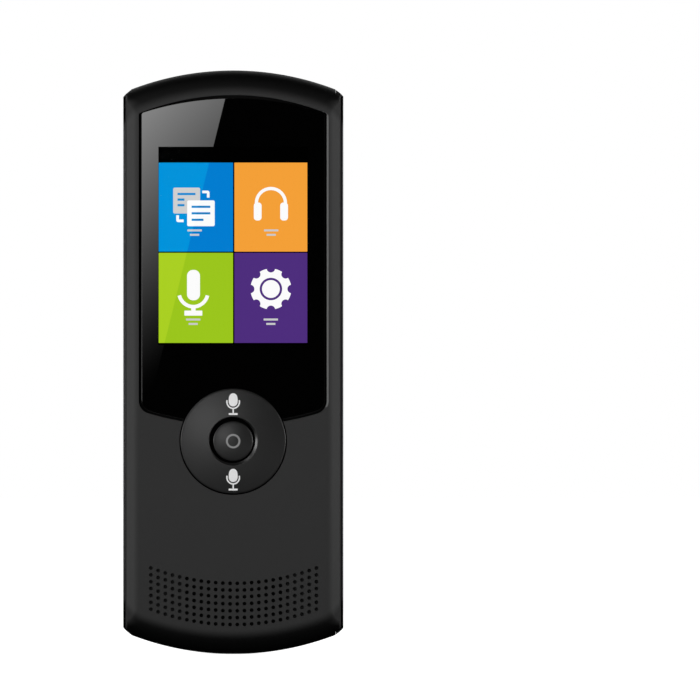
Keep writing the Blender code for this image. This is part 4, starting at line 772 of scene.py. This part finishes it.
def gearIcon():
    # eight teeth with round notches between them: the rim is where each ray meets a notch circle
    gear = {"x": 270.9, "y": 289.0, "rim": 20.4, "hole": 11.2, "disc": 8.9, "notch": 4.3}
    angle = np.linspace(0, 2 * np.pi, 360, endpoint=False)
    off = np.abs((angle + np.pi / 8) % (np.pi / 4) - np.pi / 8)
    centreOff = gear["rim"] + 0.4
    inside = gear["notch"] ** 2 - (centreOff * np.sin(off)) ** 2
    rim = np.where(inside > 0, centreOff * np.cos(off) - np.sqrt(np.maximum(inside, 0)), gear["rim"])
    rim = np.minimum(rim, gear["rim"])
    x, z = fromFrame(gear["x"], gear["y"])
    hole, halfway = np.full(360, gear["hole"]), (rim + gear["hole"]) / 2
    away = np.stack([hole, halfway, rim, rim, hole], -1) * pixel
    y = np.broadcast_to([-5.93, -5.93, -5.93, -5.91, -5.91], away.shape)
    rows = np.stack([x + away * np.cos(angle)[:, None], y, z + away * np.sin(angle)[:, None]], -1)
    r = gear["disc"] * pixel
    screenPiece("gearIcon", [loft(rows, True), rod(r, -5.93, -5.91, x, z, 96)], whiteLight)


def captionMarks():
    # two plain bars under each picture
    marks = []
    for x, y in ((194.6, 232.6), (271.2, 232.6), (193.2, 321.7), (270.8, 321.7)):
        marks += [screenPlate((x - 7.2, x + 7.2), (y - 3.2, y - 1.2), 0.4, 1),
                  screenPlate((x - 4.6, x + 4.6), (y + 1.2, y + 3.2), 0.4, 1)]
    screenPiece("captionMarks", marks, greyLight)


talkIcon()
headsetIcon()
micIcon()
gearIcon()
captionMarks()
print("display ready")


def ringTop(x, z):
    # shallow dome: y = top + c r^2
    return ring["top"] + ring["crown"] * (x ** 2 + (z - ring["z"]) ** 2)


def paintedShadeBelow(piece, near, far=0.0):
    # faces deeper than this take the second material, the painted gap shade: near in the hole's reach of the
    # middle, far outside it
    x, y, z = (faceFacts(piece, "center") / mm - middle).T
    deep = y > np.where(np.hypot(x, z - ring["z"]) < 6.3, near, far)
    piece.data.polygons.foreach_set("material_index", deep.astype(int))
    return piece


def rockerRing():
    r = np.linspace(ring["hole"] + 0.03, ring["radius"] - 0.4, 24)
    crown = np.stack([r, ringTop(r, np.full(r.shape, ring["z"]))], -1)
    rimY = ringTop(ring["radius"], ring["z"]) + 0.02
    outer = softened([crown[-1], (ring["radius"], rimY), (ring["radius"], ring["flangeY"])], 0.32, 10)[1:]
    sinkY = crown[0, 1] + 0.36
    bore = softened([(ring["bore"], sinkY + 0.6), (ring["bore"], sinkY), crown[0], crown[1]],
                    [0, 0.12, 0.1, 0])[1:-1]
    skirt, collar = ring["radius"] - 1, ring["bore"] + 1
    inner = [(ring["flange"], ring["flangeY"]), (ring["flange"], ring["pivotY"]), (skirt, ring["pivotY"]),
             (skirt, ring["under"]), (collar, ring["under"]), (collar, -5.05)]
    start = [(ring["bore"], -5.05), (ring["bore"], sinkY + 0.6)]
    profile = np.concatenate([start, bore, crown[1:], outer, inner])
    points, faces = turned(profile, 0, ring["z"], 180, True)
    # the hole lies a little up and to the left of the countersink round it
    share = np.clip((ring["hole"] - profile[:, 0]) / (ring["hole"] - ring["bore"]), 0, 1)
    share = np.repeat(share * (profile[:, 1] < -4.9), 180)[:, None]
    points = points + share * [-ring["boreShift"], 0, ring["boreShift"]]
    piece = raw("rockerRing", (points, faces))
    for side in (-1, 1):
        z = ring["z"] + side * 9.3
        carve(piece, rod(1.2, -6.3, -3.85, 0, z, 32), "UNION")
        turn = np.linspace(0, 2 * np.pi, 24, endpoint=False)
        y, z = ring["pivotY"] + 0.25 * np.cos(turn), ring["z"] + 0.25 * np.sin(turn)
        pivot = [np.stack([np.full(24, side * x), y, z], -1) for x in (12.47, 13.67)]
        carve(piece, loft(pivot), "UNION")
    dress(piece, [keyBlack, paintedGapShade], rides="ring", standsFor=["ring_button"], crease=32)
    # deeper faces of the ring take the painted gap shade
    return paintedShadeBelow(piece, sinkY, -7.15)


def ringMarks():
    # a small microphone above and below the hole: capsule, cradle, stem and foot
    whitePrint = mottled("whitePadPrint", ("#e9e9e9", "#f6f6f6"), 0.3, (0.45, 0.6))
    parts = []
    for z in (ring["z"] + 9.1, ring["z"] - 9.48):
        turn = np.radians(np.linspace(165, 375, 41))
        cradle = np.stack([1.54 * np.cos(turn), z + 0.55 + 1.6 * np.sin(turn)], -1)
        # an egg: half width w sqrt(1 - |u|^2.8) (1 - u / 16) from its foot u = -1 to its head u = 1
        u = np.sin(np.linspace(-0.495, 0.495, 25) * np.pi)
        egg = np.stack([np.zeros(25), z + 1.06 + 1.62 * u], -1)
        stem = np.stack([np.zeros(8), np.linspace(z - 1.15, z - 2.3, 8)], -1)
        parts += [band(egg, 1.1 * np.sqrt(1 - np.abs(u) ** 2.8) * (1 - u / 16), ringTop, 0.02, 0.05),
                  band(cradle, 0.17, ringTop, 0.02, 0.05), band(stem, 0.17, ringTop, 0.02, 0.05),
                  plate((-1.1, 1.1), (z - 2.66, z - 2.2), 0.1, ringTop, 0.02, 0.05)]
    return dress(raw("ringMarks", together(parts)), whitePrint, rides="ring")


def keyTop(x, z):
    # shallow dish, deepest in the middle of its face: y = -7.85 + 0.3 (r / 4.65)^2
    r = np.hypot(x, z - ring["z"])
    return -7.85 + 0.3 * (r / 4.65) ** 2


def centreKey():
    r = np.linspace(0, 4.45, 16)
    crown = np.stack([r, keyTop(r, np.full(r.shape, ring["z"]))], -1)
    side = softened([crown[-1], (4.95, -7.5), (4.95, -4.65)], 0.3, 8)[1:]
    rest = [(6.15, -4.65), (6.15, -4.15), (1.1, -4.15), (1.1, -4.03), (0, -4.03)]
    piece = raw("centreKey", turned(np.concatenate([crown, side, rest]), 0, ring["z"], 128))
    dress(piece, [keyBlack, paintedGapShade], rides="button", standsFor=["centre_button"], crease=32)
    # deeper faces of the key take the painted gap shade
    return paintedShadeBelow(piece, -7.42)


def keyMark():
    greyPrint = mottled("greyPadPrint", ("#858585", "#909090"), 0.3, (0.45, 0.6))
    turn = np.linspace(0, 2 * np.pi, 65)[:-1]
    circle = np.stack([np.cos(turn), np.sin(turn)], -1)
    rows = []
    for radius, lift in ((1.3, 0.02), (1.53, 0.02), (1.77, 0.02), (1.77, -0.05), (1.3, -0.05)):
        x, z = radius * circle[:, 0], ring["z"] + radius * circle[:, 1]
        rows.append(np.stack([x, keyTop(x, z) - lift, z], -1))
    piece = raw("keyMark", loft(rows, True))
    return dress(piece, greyPrint, rides="button")


rockerRing()
ringMarks()
centreKey()
keyMark()
print("keys ready")


def spunDisc():
    # spun black metal: fine turned grooves that stretch each highlight into wedges from the middle
    groove, radius, top = 0.16 * mm, speaker["badge"], speaker["badgeTop"]
    material, tree, shader, place = newMaterial("spunBlackMetal", Metallic=1.0, Roughness=0.32,
                                                Anisotropic=0.85, Base_Color=linear("#4a4a4c"))
    centre = addNode(tree, "VectorMath", {0: place, 1: (np.array([0, 0, speaker["z"]]) + middle) * mm},
                     operation="SUBTRACT")
    reach = addNode(tree, "VectorMath", {0: centre}, operation="LENGTH")
    wave = addNode(tree, "Math", {0: reach.outputs[1], 1: 2 * math.pi / groove}, operation="MULTIPLY")
    ripple = addNode(tree, "Math", {0: wave}, operation="SINE")
    tone = addNode(tree, "MapRange", {"Value": ripple, "From Min": -1.0})
    shade = addNode(tree, "Mix", {0: tone, 6: linear("#3e3e40"), 7: linear("#565658")},
                    data_type="RGBA")
    spin = addNode(tree, "VectorMath", {0: centre, 1: (0, 1, 0)}, operation="CROSS_PRODUCT")
    relief = addNode(tree, "Bump", {"Height": tone, "Strength": 0.3, "Distance": 0.01 * mm})
    plug(tree, shader, {"Base Color": shade.outputs[2], "Tangent": spin,
                        "Normal": relief})
    face = softened([(0, top - 0.2), (radius - 0.25, top), (radius, top - 0.25),
                     (radius, speaker["badgeBack"])], 0.12)
    profile = np.concatenate([face, [(0, speaker["badgeBack"])]])
    return dress(raw("spunDisc", turned(profile, 0, speaker["z"], 128)), material,
                 standsFor=["speaker_badge"], crease=40)


spunDisc()
print("spun disc ready")


# plain materials of the inner pieces, which keep their CAD shapes
innerLooks = {
    "blackFoam": (["battery_tape", "speaker_gasket"], ("#141414", "#1d1d1d"), 0.3, (0.85, 0.98),
                  {"bump": 0.05}),
    "siliconeRubber": (["microphone_boot"], ("#171717", "#1e1e1e"), 0.8, (0.6, 0.75), {}),
    "wovenMesh": (["grille_mesh"], ("#040404", "#0c0c0c"), 0.12, (0.8, 0.95), {"bump": 0.03}),
    "nylonBracket": (["inner_bracket", "rear_speaker", "micro_usb_insert"], ("#101011", "#17171a"), 0.6,
                     (0.5, 0.65), {"bump": 0.01}),
    "polyimideFilm": (["display_flex"], ("#8a5a1c", "#a87428"), 1.2, (0.3, 0.45), {}),
    "solderMask": (["main_board"], ("#0b4a2c", "#10633a"), 0.9, (0.35, 0.5), {}),
    "nickelSteel": (["micro_usb_shell", "upper_switch", "centre_switch", "lower_switch", "case_screw_1",
                     "case_screw_2", "case_screw_3", "case_screw_4", "board_screw_1", "board_screw_2"],
                    ("#a9a9ab", "#bdbdbf"), 0.4, (0.25, 0.4), {"Metallic": 1.0}),
    "tinnedSteel": (["shield_can", "wireless_module", "microphone"], ("#b4b4b4", "#c8c8c6"), 1.5,
                    (0.3, 0.45), {"Metallic": 1.0}),
    "pouchFoil": (["battery"], ("#a8abb0", "#b9bcc0"), 2.5, (0.35, 0.5), {"bump": 0.05}),
    "wireInsulation": (["battery_lead", "speaker_lead"], ("#a31512", "#b51c17"), 0.7, (0.4, 0.55), {}),
    "nylonPlug": (["battery_plug", "speaker_plug"], ("#ddd6c4", "#e8e2d2"), 0.5, (0.45, 0.6), {}),
    "darkPanel": (["display_panel"], ("#010101", "#020202"), 0.306, (0.6, 0.7),
                  {"Specular_IOR_Level": 0.0}),
}
for name, (wearers, colours, grain, roughness, more) in innerLooks.items():
    finish = mottled(name, colours, grain, roughness, **more)
    for node in wearers:
        nodes[node].data.materials.clear()
        nodes[node].data.materials.append(finish)
print("inner pieces dressed")


def rayMix(tree, seen, other):
    # what the camera, mirrors and glass see, against what lights the object
    path = addNode(tree, "LightPath")
    direct = addNode(tree, "Math", {0: path.outputs["Is Camera Ray"], 1: path.outputs["Is Glossy Ray"]},
                     operation="MAXIMUM")
    both = addNode(tree, "Math", {0: direct, 1: path.outputs["Is Transmission Ray"]},
                   operation="MAXIMUM")
    return addNode(tree, "MixShader", {0: both, 1: other, 2: seen})


def whiteRoom(ambient):
    # white where it is seen, and this share of white as light
    world = bpy.data.worlds.new("whiteRoom")
    scene.world = world
    world.use_nodes = True
    tree = world.node_tree
    tree.nodes.clear()
    white = addNode(tree, "Background", {"Color": (1, 1, 1, 1), "Strength": 1.0})
    soft = addNode(tree, "Background", {"Color": (1, 1, 1, 1), "Strength": ambient})
    mixed = rayMix(tree, white, soft)
    addNode(tree, "OutputWorld", {"Surface": mixed})


def stageSheet(name, corners, material):
    # a four-cornered sheet given in millimetres round the middle of the body
    points = ((np.asarray(corners, float) + middle) * mm).tolist()
    mesh = bpy.data.meshes.new(name)
    mesh.from_pydata(points, [], [[0, 1, 2, 3]])
    sheet = bpy.data.objects.new(name, mesh)
    scene.collection.objects.link(sheet)
    mesh.materials.append(material)
    return sheet


def levelSheet(name, half, height, material):
    corners = [(-half, -half, height), (half, -half, height), (half, half, height), (-half, half, height)]
    return stageSheet(name, corners, material)


def paleFloor():
    # matt and nearly white, with a glow of its own where it is seen
    material, tree, shader, place = newMaterial("paleFloor", Roughness=0.9, Specular_IOR_Level=0.0,
                                                Base_Color=(0.8, 0.8, 0.8, 1))
    glow = addNode(tree, "Emission", {"Color": (1, 1, 1, 1), "Strength": 0.82})
    lit = addNode(tree, "AddShader", {0: shader, 1: glow})
    mixed = rayMix(tree, lit, shader)
    plug(tree, tree.nodes["Material Output"], {"Surface": mixed})
    levelSheet("paleFloor", 4000, -body["halfLength"] - 0.02, material)


def onlyMirrored(sheet):
    # a card that shows in reflections alone
    sheet.visible_camera = sheet.visible_diffuse = sheet.visible_shadow = False
    sheet.visible_transmission = sheet.visible_volume_scatter = False


def darkCard(name, corners):
    material, tree, output, place = bareMaterial(name)
    black = addNode(tree, "Emission", {"Color": (0.0, 0.0, 0.0, 1), "Strength": 0.0})
    plug(tree, output, {"Surface": black})
    onlyMirrored(stageSheet(name, corners, material))


def floorCard():
    # in reflections the floor darkens towards the foot of the object, as it does round any dark thing
    shade = {"near": 0.08, "far": 0.7}
    material, tree, output, place = bareMaterial("floorCard")
    flat = addNode(tree, "VectorMath", {0: place, 1: (1, 1, 0)}, operation="MULTIPLY")
    reach = addNode(tree, "VectorMath", {0: flat}, operation="LENGTH")
    level = addNode(tree, "MapRange", {"Value": reach.outputs[1], "From Min": shade["near"],
                                       "From Max": shade["far"]}, interpolation_type="SMOOTHSTEP")
    glow = addNode(tree, "Emission", {"Color": (1, 1, 1, 1), "Strength": level})
    plug(tree, output, {"Surface": glow})
    onlyMirrored(levelSheet("floorCard", 700, -body["halfLength"] + 0.2, material))


def windowCard(camera):
    # a bright card whose slanted edge the glass mirrors, laid out on the glass and thrown back from the camera:
    # its light is peak * (up * height - aside * width)^power, with the lowest share of its height left dark
    card = {"away": 420.0, "line": [(140.0, 60.0), (234.7, 60.0), (143.0, 430.0), (140.0, 430.0)],
            "peak": 22.7, "up": 0.605, "aside": 0.17, "power": 2.02, "dark": 0.07}
    eye = np.array(camera) / mm - middle
    eye[1] = 2 * lens["front"] - eye[1]
    spots = []
    for x, y in card["line"]:
        x, z = fromFrame(x, y, lens["front"])
        ray = np.array([x, lens["front"], z]) - eye
        spots.append(np.array([x, lens["front"], z]) - ray * card["away"] / ray[1])
    material, tree, output, place = bareMaterial("windowCard")
    split = addNode(tree, "SeparateXYZ", {0: place})
    top, low = spots[0][2] + middle[2], spots[3][2] + middle[2]
    low += card["dark"] * (top - low)
    fade = addNode(tree, "MapRange", {"Value": split.outputs[2], "From Min": low * mm, "From Max": top * mm,
                                      "To Max": card["up"]})
    aside = addNode(tree, "MapRange", {"Value": split, "From Min": spots[0][0] * mm,
                                       "From Max": spots[1][0] * mm, "To Max": card["aside"]})
    shade = addNode(tree, "Math", {0: fade, 1: aside}, operation="SUBTRACT",
                    use_clamp=True)
    glow = addNode(tree, "Math", {0: shade, 1: card["power"]}, operation="POWER")
    peak = addNode(tree, "Math", {0: glow, 1: card["peak"]}, operation="MULTIPLY")
    light = addNode(tree, "Emission", {"Color": (1, 1, 1, 1), "Strength": peak})
    plug(tree, output, {"Surface": light})
    onlyMirrored(stageSheet("windowCard", spots, material))


def softbox(name, azimuth, elevation, away, size, power):
    # a lamp that looks at the middle of the body: azimuth 0 is in front of the screen, 90 to its right
    a, e = math.radians(azimuth), math.radians(elevation)
    way = np.array([math.sin(a) * math.cos(e), -math.cos(a) * math.cos(e), math.sin(e)])
    lamp = bpy.data.lights.new(name, "AREA")
    lamp.shape, lamp.size, lamp.size_y, lamp.energy = "RECTANGLE", size[0] * mm, size[1] * mm, power
    holder = bpy.data.objects.new(name, lamp)
    scene.collection.objects.link(holder)
    holder.location = ((way * away + middle) * mm).tolist()
    holder.rotation_euler = Vector((-way).tolist()).to_track_quat("-Z", "Y").to_euler()


def mainCamera():
    camera = bpy.data.objects.new("mainCamera", bpy.data.cameras.new("mainCamera"))
    scene.collection.objects.link(camera)
    camera.data.lens, camera.data.sensor_width = view["lens"], 36.0
    camera.location = ((middle + [view["right"], -view["away"], view["up"]]) * mm).tolist()
    camera.rotation_euler = (math.radians(90), 0, 0)
    camera.data.clip_start, camera.data.clip_end = 0.05, 20
    scene.camera = camera
    return camera.location


paleFloor()
whiteRoom(0.3)
windowCard(mainCamera())
for name, y in (("frontFlag", -700), ("rearFlag", 700)):
    darkCard(name, [(-330, y, -160), (330, y, -160), (330, y, 420), (-330, y, 420)])
darkCard("topFlag", [(-700, -700, 420), (700, -700, 420), (700, 250, 420), (-700, 250, 420)])
floorCard()
for name, azimuth, power in (("leftFront", -55, 2.25), ("rightFront", 55, 2.25), ("leftRear", -125, 2.35),
                             ("rightRear", 125, 2.35)):
    softbox(name, azimuth, 0, 700, (300, 340), power)
softbox("ringKey", -7.5, 3, 600, (85, 90), 0.16)
softbox("bevelKey", -42, 36, 600, (120, 120), 0.19)
print("stage ready")
